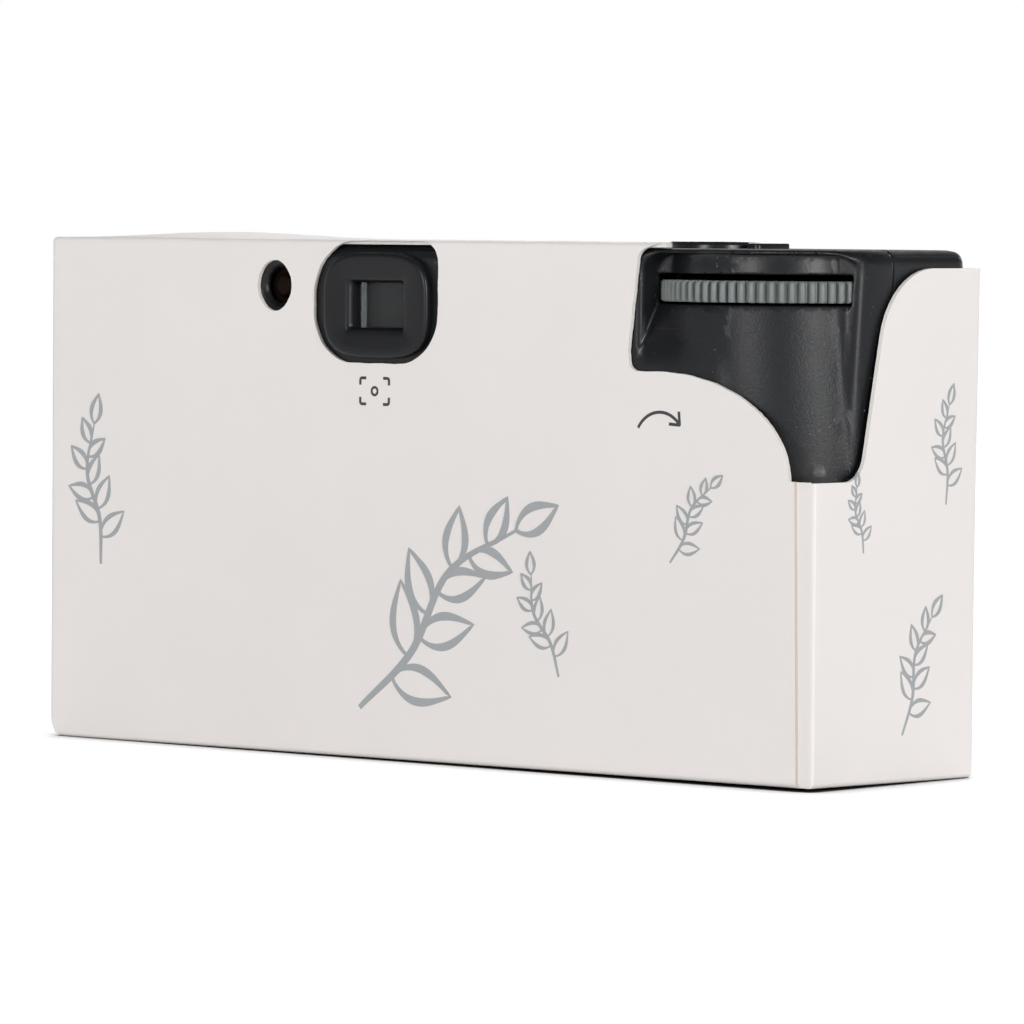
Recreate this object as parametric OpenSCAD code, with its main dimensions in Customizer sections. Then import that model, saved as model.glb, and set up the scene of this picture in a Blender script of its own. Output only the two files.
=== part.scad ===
// Disposable film camera in a paperboard sleeve
// X runs to the right as seen from the rear, the rear faces -Y, the lens looks along +Y, Z is up.
// The origin is the centre of the base.

/* [Body] */
// Wall of the two covers
wall = 1.2; // [0.9:0.1:1.6]
// Thin wall of the covers beside the wheel
thin_wall = 0.6; // [0.4:0.1:1.2]
// Radius of the rear corner below the wheel
corner_r = 13.8; // [8:0.2:14]
// How far the lens housing stands out in front of the body
housing_h = 4.6; // [3:0.2:8]
// Outer radius of the lens housing
housing_r = 13; // [11:0.5:15]

/* [Sleeve] */
// Thickness of the paperboard
sleeve_t = 0.5; // [0.3:0.1:1]
// Air between the paperboard and the body
sleeve_gap = 0.1; // [0.05:0.05:0.3]
// Left edge of the wheel cut-out, from the wheel axis
cut_left_in = 10.4; // [9.5:0.1:11]
// Left end of the wheel cut-out, below the top of the body
cut_left_down = 13.8; // [12:0.2:15]
// Wheel cut-out at the corner of the body, below the top
cut_low_down = 25.4; // [22:0.2:28]
// Edge of the side flap, below the top of the body
flap_down = 2; // [1:0.2:4]

/* [Advance wheel] */
// Radius over the teeth
wheel_r = 14; // [13.8:0.1:15]
// Thickness of the wheel
wheel_t = 2.8; // [2:0.1:3.2]
// Number of teeth
wheel_teeth = 75; // [40:1:90]
// Depth of the teeth
tooth_h = 0.55; // [0.3:0.05:0.8]
// Free space round the wheel
wheel_gap = 0.4; // [0.3:0.1:0.8]
// How far the wheel shows past the rear face of the body
wheel_show = 0.2; // [0:0.1:0.4]
// Radius of the wheel shaft
shaft_r = 2.5; // [2:0.1:3]

/* [Recess] */
// Depth of the slanted panel at its left end
panel_depth = 3; // [2:0.1:4]
// Slant of the panel in plan, in degrees
panel_slant = 15; // [10:1:18]
// Left end of the recess, from the wheel axis
recess_left = 7.6; // [6:0.2:9]
// Height of the top edge of the recess below the top of the body
recess_rim = 0.6; // [0.5:0.1:1.5]
// Radius of the cone at the wheel
cone_top_r = 13.2; // [13:0.1:13.4]
// Radius of the cone at its foot
cone_foot_r = 15; // [14.5:0.1:15.5]
// Height of the cone
cone_h = 17.6; // [15:0.2:19]

/* [Film] */
// Diameter of the film cartridge
cartridge_d = 25; // [24.6:0.1:25.2]
// Height of the cartridge
cartridge_h = 43; // [42:0.5:44]
// Width of the film
film_w = 35; // [34:0.5:35.5]
// Thickness of the film
film_t = 0.14; // [0.12:0.01:0.2]
// Width of one picture
frame_w = 36; // [34:0.5:36]
// Height of one picture
frame_h = 24; // [22:0.5:25]
// Diameter of the unexposed film roll
roll_d = 19; // [15:0.5:19.5]
// Radius of the roll's core
core_r = 5; // [4:0.2:6]

/* [Finder] */
// Place of the finder, from the centre of the body
finder_x = -5.5; // [-7:0.1:-4]
// Middle of the finder, below the top of the body
finder_down = 6.9; // [6.8:0.1:8]
// Width of the eyepiece frame
eyepiece_w = 16.6; // [15:0.2:18]
// Height of the eyepiece frame
eyepiece_h = 12.2; // [11:0.2:12.6]
// Corner radius of the eyepiece frame
eyepiece_r = 4; // [3:0.2:5]
// Width of the finder window
window_w = 8.4; // [7:0.2:9]
// Height of the finder window
window_h = 5.4; // [5:0.2:6]
// How far the eyepiece stands out of the rear cover
eyepiece_out = 1.1; // [0.8:0.1:1.6]
// Place of the ready lamp, from the centre of the body
lamp_x = -21.7; // [-24:0.1:-20]
// Middle of the ready lamp, below the top of the body
lamp_down = 4.8; // [4:0.1:8]
// Radius of the hole for the lamp in the paperboard
lamp_hole_r = 2.8; // [2.4:0.1:3.2]
// Radius of the lamp
lamp_r = 1.5; // [1.2:0.1:1.8]

/* [Lens] */
// Radius of the taking lens
lens_r = 4; // [3:0.2:5]
// Radius of the fixed aperture
aperture_r = 1.4; // [1:0.1:2]

/* [Controls] */
// Place of the shutter button, inwards from the wheel axis
button_in = 9.8; // [9:0.1:10.5]
// Radius of the shutter button
button_r = 5.6; // [5:0.1:6]
// How far the button stands above the body
button_up = 0.8; // [0.6:0.1:1.2]
// Travel of the shutter button
button_travel = 0.8; // [0.5:0.1:1]
// Radius of the flash button
flash_button_r = 4.2; // [3.5:0.1:5]
// Travel of the flash button
flash_travel = 0.8; // [0.5:0.1:1]
// Radius of the frame counter disc
counter_r = 8; // [7:0.2:8.4]

/* [Flash and power] */
// Width of the flash window
flash_w = 22; // [18:0.5:24]
// Height of the flash window
flash_h = 14; // [12:0.5:15]
// Diameter of the cell
cell_d = 10.5; // [10:0.1:10.6]
// Length of the cell
cell_l = 44.5; // [43:0.5:45]
// Diameter of the capacitor
capacitor_d = 9; // [7:0.5:9.5]
// Length of the capacitor
capacitor_l = 27; // [22:1:30]
// Thickness of the circuit board
board_t = 1.2; // [0.8:0.1:1.6]

/* [Clearances] */
// Free space between pieces that move past each other
gap = 0.3; // [0.25:0.05:0.4]
// Radial clearance of a shaft in its bore
run_fit = 0.05; // [0.02:0.01:0.09]

/* [Hidden] */
$fn = 64;
eps = 0.01;
far = 200;
over = 1;

// Film path from left to right: gate, sprocket, cartridge
gate_rim = 3;
gate_half_w = frame_w / 2 + gate_rim;
perforation = 4.75;
sprocket_teeth = 8;
film_curl = 0.35;
sprocket_r = perforation * sprocket_teeth / (2 * PI) - film_curl;
sprocket_tip = 0.6;
sprocket_in = 1;
sprocket_x = gate_half_w + sprocket_in;
cartridge_r = cartridge_d / 2;
film_room = 1.6;
chamber_wall = 1;
wheel_x = sprocket_x + sprocket_r + sprocket_tip + cartridge_r + film_room;

// Body: width and depth follow from the wheel and the cartridge, height from the stack on the floor
rear_reach = max(wheel_r - wheel_show, cartridge_r + gap + chamber_wall);
front_reach = wheel_r + wheel_gap + thin_wall;
body_d = rear_reach + front_reach;
half_w = wheel_x + front_reach;
half_d = body_d / 2;
body_w = 2 * half_w;
wheel_y = rear_reach - half_d;
skin = sleeve_t + sleeve_gap;
base = skin;
in_z0 = base + wall;
cartridge_z0 = in_z0;
cartridge_z1 = cartridge_z0 + cartridge_h;
stub_h = 5.4;
stub_room = 1;
deck_t = 2;
deck_z0 = cartridge_z1 + stub_h + stub_room;
deck_z1 = deck_z0 + deck_t;
wheel_z = deck_z1 + gap;
button_flange_t = 0.5;
in_z1 = wheel_z + wheel_t + gap + button_travel + button_flange_t + gap;
top = in_z1 + wall;
body_h = top - base;
in_x = half_w - wall;
in_y = half_d - wall;
edge_r = 2;
housing_y = half_d + housing_h;
cut_left = wheel_x - cut_left_in;
cut_left_z = top - cut_left_down;
cut_low_z = top - cut_low_down;
flap_z = top - flap_down;
finder_z = top - finder_down;
lamp_z = top - lamp_down;
button_x = wheel_x - button_in;
lens_z = cartridge_z0 + cartridge_h / 2;

// Edge of the paperboard round the wheel: steps from its left and top ends, and the bends of the side flap
cut_top_in = 4.3;
cut_knee_in = 1.3;
cut_knee_down = 0.4;
cut_neck_in = 0.4;
cut_neck_down = 3;
cut_heel_up = 2.6;
cut_toe_in = 0.8;
cut_arc_in = 4;
cut_fold_in = 2.1;
cut_arc_w = half_w - cut_fold_in - cut_left - cut_arc_in;
cut_button_room = 3;
cut_front_in = 6;
flap_mid_y = -2.4;
flap_low_y = -5;
flap_bend = 6;
flap_run = 9.1;
front_cut_w = 10;
front_bend = flap_down;

// Wheel, recess and cone
slot_z0 = wheel_z - gap;
slot_z1 = wheel_z + wheel_t + gap;
recess_x = wheel_x - recess_left;
recess_flare = 1.2;
recess_z0 = slot_z0 - cone_h;
recess_z1 = top - recess_rim;
ramp_up = 1;
ramp_z = cut_left_z + ramp_up;
function panel_y(x) = -half_d + panel_depth + (x - recess_x) * tan(panel_slant);

// Film path, from the gate at the rear to the lens in front
plate_t = 1.4;
gate_in = 1.6;
gate_y = -in_y + gate_in;
gate_front_y = gate_y + plate_t;
film_z0 = lens_z - film_w / 2;
box_wall = 1.2;
box_step_y = 0;
board_in = 4.2;
board_y = in_y - board_in;
lens_board_t = 1.2;
small_box_w = 20;
small_box_h = 16;
roll_r = roll_d / 2;
roll_room = 0.5;
roll_x = -gate_half_w - roll_r - roll_room;
roll_y = gate_y + gap + roll_r;
pin_r = 2.5;
bracket_t = 2;
bracket_rim = 2;
bracket_room = 3.2;
bracket_top_z = film_z0 + film_w + bracket_room;
gate_top_z = bracket_top_z + bracket_t;
deck_from_finder = 4.3;
deck_x0 = finder_x + window_w / 2 + deck_from_finder;
deck_from_recess = 3.8;
deck_x1 = recess_x - deck_from_recess;
deck_right_y = -2;

// Cartridge below the wheel
cap_t = 1;
shell_t = 0.5;
stub_r = 4.5;
stub_z1 = deck_z0 - stub_room;
socket_up = 2.2;
socket_z = cartridge_z1 + socket_up;
spool_r = 5.5;
spool_pin_r = 3;

// Sprocket that the film turns: eight teeth at the pitch of the perforations
film_gap = 0.1;
sprocket_y = gate_y + sprocket_r + sprocket_tip + film_gap;
sprocket_t = 2.2;
perforation_in = 3.1;
sprocket_z = film_z0 + film_w - perforation_in;
sprocket_shaft_r = 1.5;
tooth_w = 1;
tooth_t = 1.8;

// Lens and shutter, all on the lens axis
aperture_t = 0.5;
aperture_room = 1;
aperture_plate_r = 5;
aperture_y = board_y + lens_board_t;
blade_room = 0.5;
blade_y = aperture_y + aperture_t + blade_room;
blade_t = 0.4;
blade_lap = 1.2;
blade_r = aperture_r + blade_lap;
blade_arm = 1;
pivot_x = 7;
pivot_up = 3;
pivot_z = lens_z + pivot_up;
pivot_r = 1;
pivot_boss_r = 2.2;
pivot_h = 1.4;
pivot_y1 = blade_y + pivot_h;
spring_wire = 0.3;
lens_t = 2.2;
lens_rim_t = 1;
lens_seat_h = 0.6;
lens_y = half_d + lens_seat_h;
lens_seat_w = 0.6;
lens_seat_r = lens_r - lens_seat_w;
ring_y = lens_y + lens_t;
ring_w = 2.2;
ring_r = lens_r + ring_w;
ring_t = 1.4;

// Shutter button, release lever and pawl
button_flange = 0.8;
button_flange_z1 = in_z1 - gap;
stem_in = 1.8;
stem_x = wheel_x - wheel_r - stem_in;
stem_r = 1;
lever_arm = 8.2;
lever_pivot_x = stem_x - lever_arm;
lever_down = 4.2;
lever_z = deck_z0 - lever_down;
lever_tail = 2;
finger_w = 1.2;
finger_room = 1;
finger_z0 = sprocket_z + sprocket_t + finger_room;
lever_half_t = 0.8;
lever_half_d = 1;
lever_boss_r = 2;
post_room = 1;
post_y = lever_half_d + post_room;
post_w = 6;
post_t = 2;
pin_end = 0.6;
pawl_a = 146.6;
pawl_reach = 5.64;
pawl_x = wheel_x + (wheel_r + pawl_reach) * cos(pawl_a);
pawl_y = wheel_y + (wheel_r + pawl_reach) * sin(pawl_a);
pawl_t = 2;
pawl_boss_r = 1.8;
pawl_half_w = 1.2;
pawl_tip_gap = 0.35;
pawl_lead = 6;

// Frame counter
counter_in = 9;
counter_x = deck_x0 + counter_in;
counter_y = 4;
counter_t = 0.8;
counter_down = 1;
counter_z = slot_z1 - counter_down;
counter_shaft_r = 1.5;
counter_show = 2.5;
counter_window_x = counter_x - counter_r + counter_show;
counter_window_w = 9;
counter_window_d = 6;
window_flange = 0.8;
window_flange_t = 0.8;
window_fit = 0.1;

// Finder and lamp
finder_margin = 1.1;
eyepiece_lens_t = 1.2;
finder_spread_w = 1.6;
finder_spread_h = 2.6;
finder_glass_w = window_w + finder_spread_w;
finder_glass_h = window_h + finder_spread_h;
lens_lap = 0.8;
lamp_flange_t = 1;
lamp_back = 3;
lamp_sunk = 0.5;
lamp_flange = 0.7;

// Flash
flash_in = 2;
flash_x = -half_w + wall + flash_w / 2 + flash_in;
flash_up = 1.4;
flash_z = film_z0 + film_w + flash_up + flash_h / 2;
flash_lap = 0.8;
flash_window_y0 = in_y - flash_lap;
flash_out = 0.2;
reflector_d = 7.9;
reflector_y0 = flash_window_y0 - reflector_d;
trough_wall = 0.8;
trough_r = flash_h / 2 - trough_wall;
reflector_end = 1;
tube_r = 1.3;
tube_in = 4;
tube_end = 1;
tube_y = flash_window_y0 - tube_in;
circuit_in = 2.4;
circuit_y1 = in_y - circuit_in;
circuit_y0 = circuit_y1 - board_t;
circuit_x0 = -in_x + gap;
circuit_x1 = roll_x - roll_r - gap;
circuit_z1 = flash_z - flash_h / 2;
capacitor_in = 2.9;
capacitor_x = circuit_x0 + capacitor_d / 2 + capacitor_in;
capacitor_gap = 0.1;
transformer_down = 4.8;
capacitor_y = circuit_y0 - capacitor_d / 2 - capacitor_gap;
transformer_size = [9, 8, circuit_z1 - in_z0 - capacitor_l - gap - transformer_down];
cell_r = cell_d / 2;
cell_y = in_y - cell_r - gap;
cell_z = in_z0 + cell_r;
contact_t = 0.5;
contact_w = 9;
contact_h = 10;
cell_x0 = -gate_half_w + contact_t + roll_room;
flash_button_x = -gate_half_w;
flash_button_up = 16;
flash_button_z = lens_z + flash_button_up;
flash_button_rest = 0.4;
flash_button_out = flash_travel + flash_button_rest;
flash_flange = 0.7;
flash_flange_t = 1.2;

module rounded(w, h, r) {
  square([w - 2 * r, h], center = true);
  square([w, h - 2 * r], center = true);
  for (x = [-1, 1], y = [-1, 1]) translate([x * (w / 2 - r), y * (h / 2 - r)]) circle(r);
}

module ycyl(x, z, r, y0, y1) {
  translate([x, y1, z]) rotate([90, 0, 0]) cylinder(r = r, h = y1 - y0);
}

module yplate(x, z, w, h, y0, y1, r = 0) {
  translate([x, y1, z]) rotate([90, 0, 0]) linear_extrude(y1 - y0)
    if (r > 0) rounded(w, h, r); else square([w, h], center = true);
}

module block(x0, x1, y0, y1, z0, z1) {
  translate([x0, y0, z0]) cube([x1 - x0, y1 - y0, z1 - z0]);
}

// Plan of the rear half of the body: a wide rounding below the wheel, a small one at the other corner
module rear_plan(d) {
  difference() {
    translate([-half_w + d, -half_d + d]) square([body_w - 2 * d, half_d - d]);
    translate([half_w - corner_r, -half_d]) square(corner_r);
    translate([-half_w, -half_d]) square(edge_r);
  }
  intersection() {
    translate([half_w - corner_r, -half_d + corner_r]) circle(corner_r - d);
    translate([half_w - corner_r - eps, -half_d]) square(corner_r + eps);
  }
  translate([-half_w + edge_r, -half_d + edge_r]) circle(edge_r - min(d, edge_r / 2));
}

module front_plan(d) {
  translate([-half_w + d, 0]) square([body_w - 2 * d, half_d - edge_r]);
  translate([-half_w + edge_r, 0]) square([body_w - 2 * edge_r, half_d - d]);
  for (x = [-1, 1]) translate([x * (half_w - edge_r), half_d - edge_r]) circle(edge_r - min(d, edge_r / 2));
}

// Space that the recess takes out of the rear cover, d deeper all round
module recess_cut(d) {
  x0 = recess_x - d;
  x1 = half_w + 1;
  out_y = -half_d - 1;
  difference() {
    translate([0, 0, recess_z0 - d]) linear_extrude(recess_z1 - recess_z0 + 2 * d)
      polygon([[x0, panel_y(recess_x) + d], [x1, panel_y(x1) + d], [x1, out_y], [x0 - recess_flare, out_y]]);
    translate([wheel_x, wheel_y, recess_z0 - d - eps])
      cylinder(r1 = cone_foot_r - d, r2 = cone_top_r - d, h = slot_z0 - recess_z0 + d + eps, $fn = 96);
    translate([wheel_x, 0, 0]) rotate([0, -90, 0]) linear_extrude(wheel_x - x0 + 2 * recess_flare)
      polygon([[recess_z0 - d - 1, -half_d - 2], [ramp_z - d, -half_d - 2], [ramp_z - d, -half_d],
               [slot_z0 - d, panel_y(wheel_x) + d], [recess_z0 - d - 1, panel_y(wheel_x) + d]]);
  }
}

// Space in which the wheel turns
module wheel_room() {
  translate([wheel_x, wheel_y, slot_z0]) cylinder(r = wheel_r + wheel_gap, h = slot_z1 - slot_z0, $fn = 96);
}

module button_hole() {
  translate([button_x, 0, in_z1 - eps]) cylinder(r = button_r + gap, h = wall + 2 * eps);
}

// Edge of the paperboard on the rear panel, from the top, round the wheel corner, to the right fold
function rear_cut() = concat(
  [[half_w + skin + over, top + 2 * over], [cut_left + cut_top_in, top + 2 * over],
   [cut_left + cut_top_in, top + skin],
   [cut_left + cut_knee_in, top - cut_knee_down], [cut_left + cut_neck_in, top - cut_neck_down],
   [cut_left, cut_left_z + cut_heel_up], [cut_left + cut_toe_in, cut_left_z]],
  [for (a = [90:-6:0])
    [cut_left + cut_arc_in + cut_arc_w * cos(a), cut_low_z + (cut_left_z - cut_low_z) * sin(a)]],
  [[half_w + skin + over, cut_low_z]]);

// Edge of the paperboard on the right side, from the rear fold up to the flap
function side_cut() = concat(
  [[-half_d - skin - over, top + 2 * over], [-half_d - skin - over, cut_low_z]],
  [for (a = [-90:15:0]) [flap_low_y - flap_bend + flap_bend * cos(a), cut_low_z + flap_bend * (1 + sin(a))]],
  [for (a = [180:-15:90]) [flap_mid_y + flap_run * (1 + cos(a)), flap_z - flap_bend * (1 - sin(a))]],
  [[half_d + skin + over, flap_z], [half_d + skin + over, top + 2 * over]]);

// Edge of the paperboard on the front panel, level with the flap at the wheel corner
function front_cut() = concat(
  [[half_w + skin + over, top + 2 * over], [half_w - front_cut_w, top + 2 * over]],
  [for (a = [180:15:270])
    [half_w - front_cut_w + front_bend * (1 + cos(a)), flap_z + front_bend * (1 + sin(a))]],
  [[half_w + skin + over, flap_z]]);

module sleeve() {
  w = body_w + 2 * skin;
  d = body_d + 2 * skin;
  h = body_h + 2 * skin;
  cut_x0 = button_x - button_r - cut_button_room;
  color("white") difference() {
    translate([-w / 2, -d / 2, 0]) cube([w, d, h]);
    translate([-w / 2 + sleeve_t, -d / 2 + sleeve_t, sleeve_t])
      cube([w - 2 * sleeve_t, d - 2 * sleeve_t, h - 2 * sleeve_t]);
    translate([0, -half_d, 0]) rotate([90, 0, 0]) linear_extrude(skin + 1) polygon(rear_cut());
    translate([half_w, 0, 0]) rotate([90, 0, 90]) linear_extrude(skin + 1) polygon(side_cut());
    translate([0, half_d + skin + 1, 0]) rotate([90, 0, 0]) linear_extrude(skin + 1) polygon(front_cut());
    translate([0, 0, top]) linear_extrude(skin + 1) difference() {
      translate([cut_x0, -half_d - skin - over]) square([far, body_d + 2 * skin + 2 * over]);
      translate([cut_x0 - over, -half_d - skin - over])
        square([cut_left + cut_top_in - cut_x0 + over, half_d - cut_front_in]);
    }
    yplate(finder_x, finder_z, eyepiece_w + 2 * finder_margin, eyepiece_h + 2 * finder_margin,
      -half_d - skin - 1, -half_d, eyepiece_r + finder_margin);
    ycyl(lamp_x, lamp_z, lamp_hole_r, -half_d - skin - 1, -half_d);
    ycyl(0, lens_z, housing_r + finder_margin, half_d, half_d + skin + 1);
    ycyl(flash_button_x, flash_button_z, flash_button_r + finder_margin, half_d, half_d + skin + 1);
    yplate(flash_x, flash_z, flash_w + 2 * finder_margin, flash_h + 2 * finder_margin,
      half_d, half_d + skin + 1, 1);
    yplate(finder_x, finder_z, finder_glass_w, finder_glass_h, half_d, half_d + skin + 1, 1);
    translate([counter_window_x - counter_window_w / 2, counter_y - counter_window_d / 2, top])
      cube([counter_window_w, counter_window_d, skin + 1]);
  }
}

module front_cover() {
  color("#1c1e21") difference() {
    union() {
      translate([0, 0, base]) linear_extrude(body_h) front_plan(0);
      ycyl(0, lens_z, housing_r, half_d - eps, housing_y);
    }
    translate([0, 0, in_z0]) linear_extrude(in_z1 - in_z0) front_plan(wall);
    block(-in_x, in_x, -1, 1, in_z0, in_z1);
    ycyl(0, lens_z, lens_seat_r, in_y - 1, housing_y + 1);
    ycyl(0, lens_z, lens_r + run_fit, lens_y, housing_y + 1);
    ycyl(0, lens_z, ring_r + run_fit, ring_y, housing_y + 1);
    yplate(flash_x, flash_z, flash_w + 2 * window_fit, flash_h + 2 * window_fit, in_y - 1, half_d + 1);
    yplate(finder_x, finder_z, finder_glass_w - 2 * lens_lap, finder_glass_h - 2 * lens_lap,
      in_y - 1, half_d + 1);
    ycyl(flash_button_x, flash_button_z, flash_button_r + gap, in_y - 1, half_d + 1);
    translate([counter_window_x - counter_window_w / 2, counter_y - counter_window_d / 2, in_z1 - 1])
      cube([counter_window_w, counter_window_d, wall + 2]);
    wheel_room();
    button_hole();
  }
}

module rear_cover() {
  color("#1c1e21") difference() {
    translate([0, 0, base]) linear_extrude(body_h) rear_plan(0);
    recess_cut(0);
    difference() {
      translate([0, 0, in_z0]) linear_extrude(in_z1 - in_z0) rear_plan(wall);
      recess_cut(wall);
    }
    block(-in_x, in_x, -1, eps, in_z0, in_z1);
    translate([wheel_x, wheel_y, in_z0]) cylinder(r = cartridge_r + gap, h = cartridge_h + gap, $fn = 96);
    yplate(finder_x, finder_z, window_w, window_h, -half_d - 1, -in_y + 1);
    ycyl(lamp_x, lamp_z, lamp_r + run_fit, -half_d - 1, -in_y + 1);
    wheel_room();
    button_hole();
  }
}

module chassis() {
  half_fw = frame_w / 2;
  half_fh = frame_h / 2;
  color("#26282b") difference() {
    union() {
      block(-gate_half_w, gate_half_w, gate_y, gate_front_y, in_z0, gate_top_z);
      block(deck_x0, gate_half_w, gate_y, gate_front_y, gate_top_z - eps, deck_z1);
      // dark box in two steps, with the lens board in front
      block(-half_fw - box_wall, half_fw + box_wall, gate_y + eps, box_step_y,
        lens_z - half_fh - box_wall, lens_z + half_fh + box_wall);
      block(-small_box_w / 2 - box_wall, small_box_w / 2 + box_wall,
        box_step_y - box_wall, board_y + lens_board_t,
        lens_z - small_box_h / 2 - box_wall, lens_z + small_box_h / 2 + box_wall);
      ycyl(pivot_x, pivot_z, pivot_r, board_y, pivot_y1);
      // brackets of the film roll
      for (z = [in_z0, bracket_top_z])
        block(roll_x - pin_r - bracket_rim, -gate_half_w + bracket_rim, gate_y, roll_y + pin_r + bracket_rim,
          z, z + bracket_t);
      // deck that carries the wheel
      block(deck_x0, deck_x1, gate_y, in_y - gap, deck_z0, deck_z1);
      block(deck_x1 - eps, in_x - gap, deck_right_y, in_y - gap, deck_z0, deck_z1);
      translate([wheel_x, wheel_y, deck_z0]) cylinder(r = cone_top_r - wall - gap, h = deck_t);
      // post and pin of the release lever, pin of the pawl
      block(lever_pivot_x - post_w / 2, lever_pivot_x + post_w / 2, post_y, post_y + post_t,
        lever_z - post_w / 2, deck_z1);
      ycyl(lever_pivot_x, lever_z, pivot_r, -lever_half_d - pin_end, post_y + eps);
      translate([pawl_x, pawl_y, deck_z0]) cylinder(r = pivot_r, h = deck_t + pawl_t + 2 * gap);
    }
    block(-half_fw, half_fw, gate_y - 1, box_step_y - box_wall, lens_z - half_fh, lens_z + half_fh);
    block(-small_box_w / 2, small_box_w / 2, box_step_y - box_wall - 1, board_y,
      lens_z - small_box_h / 2, lens_z + small_box_h / 2);
    ycyl(0, lens_z, aperture_r + aperture_room, board_y - 1, board_y + lens_board_t + 1);
    translate([roll_x, roll_y, in_z0 - 1]) cylinder(r = pin_r + run_fit, h = gate_top_z);
    translate([wheel_x, wheel_y, deck_z0 - 1]) cylinder(r = shaft_r + run_fit, h = deck_t + 2);
    translate([sprocket_x, sprocket_y, deck_z0 - 1]) cylinder(r = sprocket_shaft_r + run_fit, h = deck_t + 2);
    translate([sprocket_x, sprocket_y, sprocket_z - gap])
      cylinder(r = sprocket_r + sprocket_tip + gap, h = sprocket_t + 2 * gap);
    translate([counter_x, counter_y, deck_z0 - 1]) cylinder(r = counter_shaft_r + run_fit, h = deck_t + 2);
    translate([stem_x, 0, deck_z0 - 1]) cylinder(r = stem_r + gap, h = deck_t + 2);
  }
}

module eyepiece_frame() {
  color("#17181a") difference() {
    yplate(finder_x, finder_z, eyepiece_w, eyepiece_h, -half_d - eyepiece_out, -half_d, eyepiece_r);
    yplate(finder_x, finder_z, window_w, window_h, -half_d - eyepiece_out - 1, -half_d + 1);
  }
}

module eyepiece_lens() {
  color([0.6, 0.65, 0.7, 0.5])
    yplate(finder_x, finder_z, window_w + 2 * lens_lap, window_h + 2 * lens_lap,
      -in_y, -in_y + eyepiece_lens_t);
}

module finder_lens() {
  color([0.6, 0.65, 0.7, 0.5])
    yplate(finder_x, finder_z, finder_glass_w, finder_glass_h, in_y - eyepiece_lens_t, in_y);
}

// Lens with a flat rim and two bowed faces
module taking_lens() {
  bow = (lens_t - lens_rim_t) / 2;
  ball_r = (pow(lens_seat_r, 2) + pow(bow, 2)) / (2 * bow);
  color([0.7, 0.75, 0.85, 0.5]) intersection() {
    ycyl(0, lens_z, lens_r, lens_y, lens_y + lens_t);
    union() {
      ycyl(0, lens_z, lens_r, lens_y, lens_y + lens_rim_t);
      translate([0, lens_y + lens_t - ball_r, lens_z]) rotate([90, 0, 0]) sphere(ball_r);
    }
  }
}

module lens_ring() {
  color("#2c2e31") difference() {
    ycyl(0, lens_z, ring_r, ring_y, ring_y + ring_t);
    ycyl(0, lens_z, lens_seat_r, ring_y - 1, ring_y + ring_t + 1);
  }
}

module aperture_plate() {
  color("#3a3d40") difference() {
    ycyl(0, lens_z, aperture_plate_r, aperture_y, aperture_y + aperture_t);
    ycyl(0, lens_z, aperture_r, aperture_y - 1, aperture_y + aperture_t + 1);
  }
}

// Blade that hides the aperture, on its pin beside the lens
module shutter_blade() {
  reach = norm([pivot_x, pivot_z - lens_z]);
  lean = atan2(pivot_z - lens_z, pivot_x);
  color("#55585c") difference() {
    union() {
      ycyl(0, lens_z, blade_r, blade_y, blade_y + blade_t);
      ycyl(pivot_x, pivot_z, pivot_boss_r, blade_y, blade_y + blade_t);
      translate([0, blade_y, lens_z]) rotate([0, -lean, 0]) translate([0, 0, -blade_arm])
        cube([reach, blade_t, 2 * blade_arm]);
    }
    ycyl(pivot_x, pivot_z, pivot_r + run_fit, blade_y - 1, blade_y + blade_t + 1);
  }
}

// Wound spring of the blade, round the same pin
module shutter_spring() {
  ring_mid = pivot_r + gap + spring_wire / 2;
  color("silver") translate([pivot_x, blade_y + blade_t + gap + spring_wire / 2, pivot_z]) rotate([90, 0, 0])
    rotate_extrude() translate([ring_mid, 0]) circle(spring_wire / 2, $fn = 16);
}

module release_lever() {
  color("#6a6d70") difference() {
    union() {
      ycyl(lever_pivot_x, lever_z, lever_boss_r, -lever_half_d, lever_half_d);
      block(lever_pivot_x, stem_x + lever_tail, -lever_half_d, lever_half_d,
        lever_z - lever_half_t, lever_z + lever_half_t);
      block(lever_pivot_x - finger_w, lever_pivot_x + finger_w, -lever_half_d, lever_half_d,
        finger_z0, lever_z);
    }
    ycyl(lever_pivot_x, lever_z, pivot_r + run_fit, -lever_half_d - 1, lever_half_d + 1);
  }
}

module shutter_button() {
  z0 = button_flange_z1 - button_flange_t;
  color("#17181a") {
    translate([button_x, 0, button_flange_z1 - eps])
      cylinder(r = button_r, h = top + button_up - button_flange_z1 + eps);
    translate([button_x, 0, z0]) cylinder(r = button_r + button_flange, h = button_flange_t);
    block(stem_x - stem_r, button_x, -stem_r, stem_r, z0, button_flange_z1);
    translate([stem_x, 0, lever_z + lever_half_t + gap])
      cylinder(r = stem_r, h = z0 - lever_z - lever_half_t - gap + eps);
  }
}

module advance_wheel() {
  color("#8b9092") {
    translate([wheel_x, wheel_y, wheel_z]) linear_extrude(wheel_t) difference() {
      circle(wheel_r, $fn = 150);
      for (i = [0:wheel_teeth - 1]) rotate(i * 360 / wheel_teeth) translate([wheel_r, 0]) rotate(45)
        square(tooth_h * sqrt(2), center = true);
    }
    translate([wheel_x, wheel_y, socket_z]) cylinder(r = shaft_r, h = wheel_z - socket_z + eps);
  }
}

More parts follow.
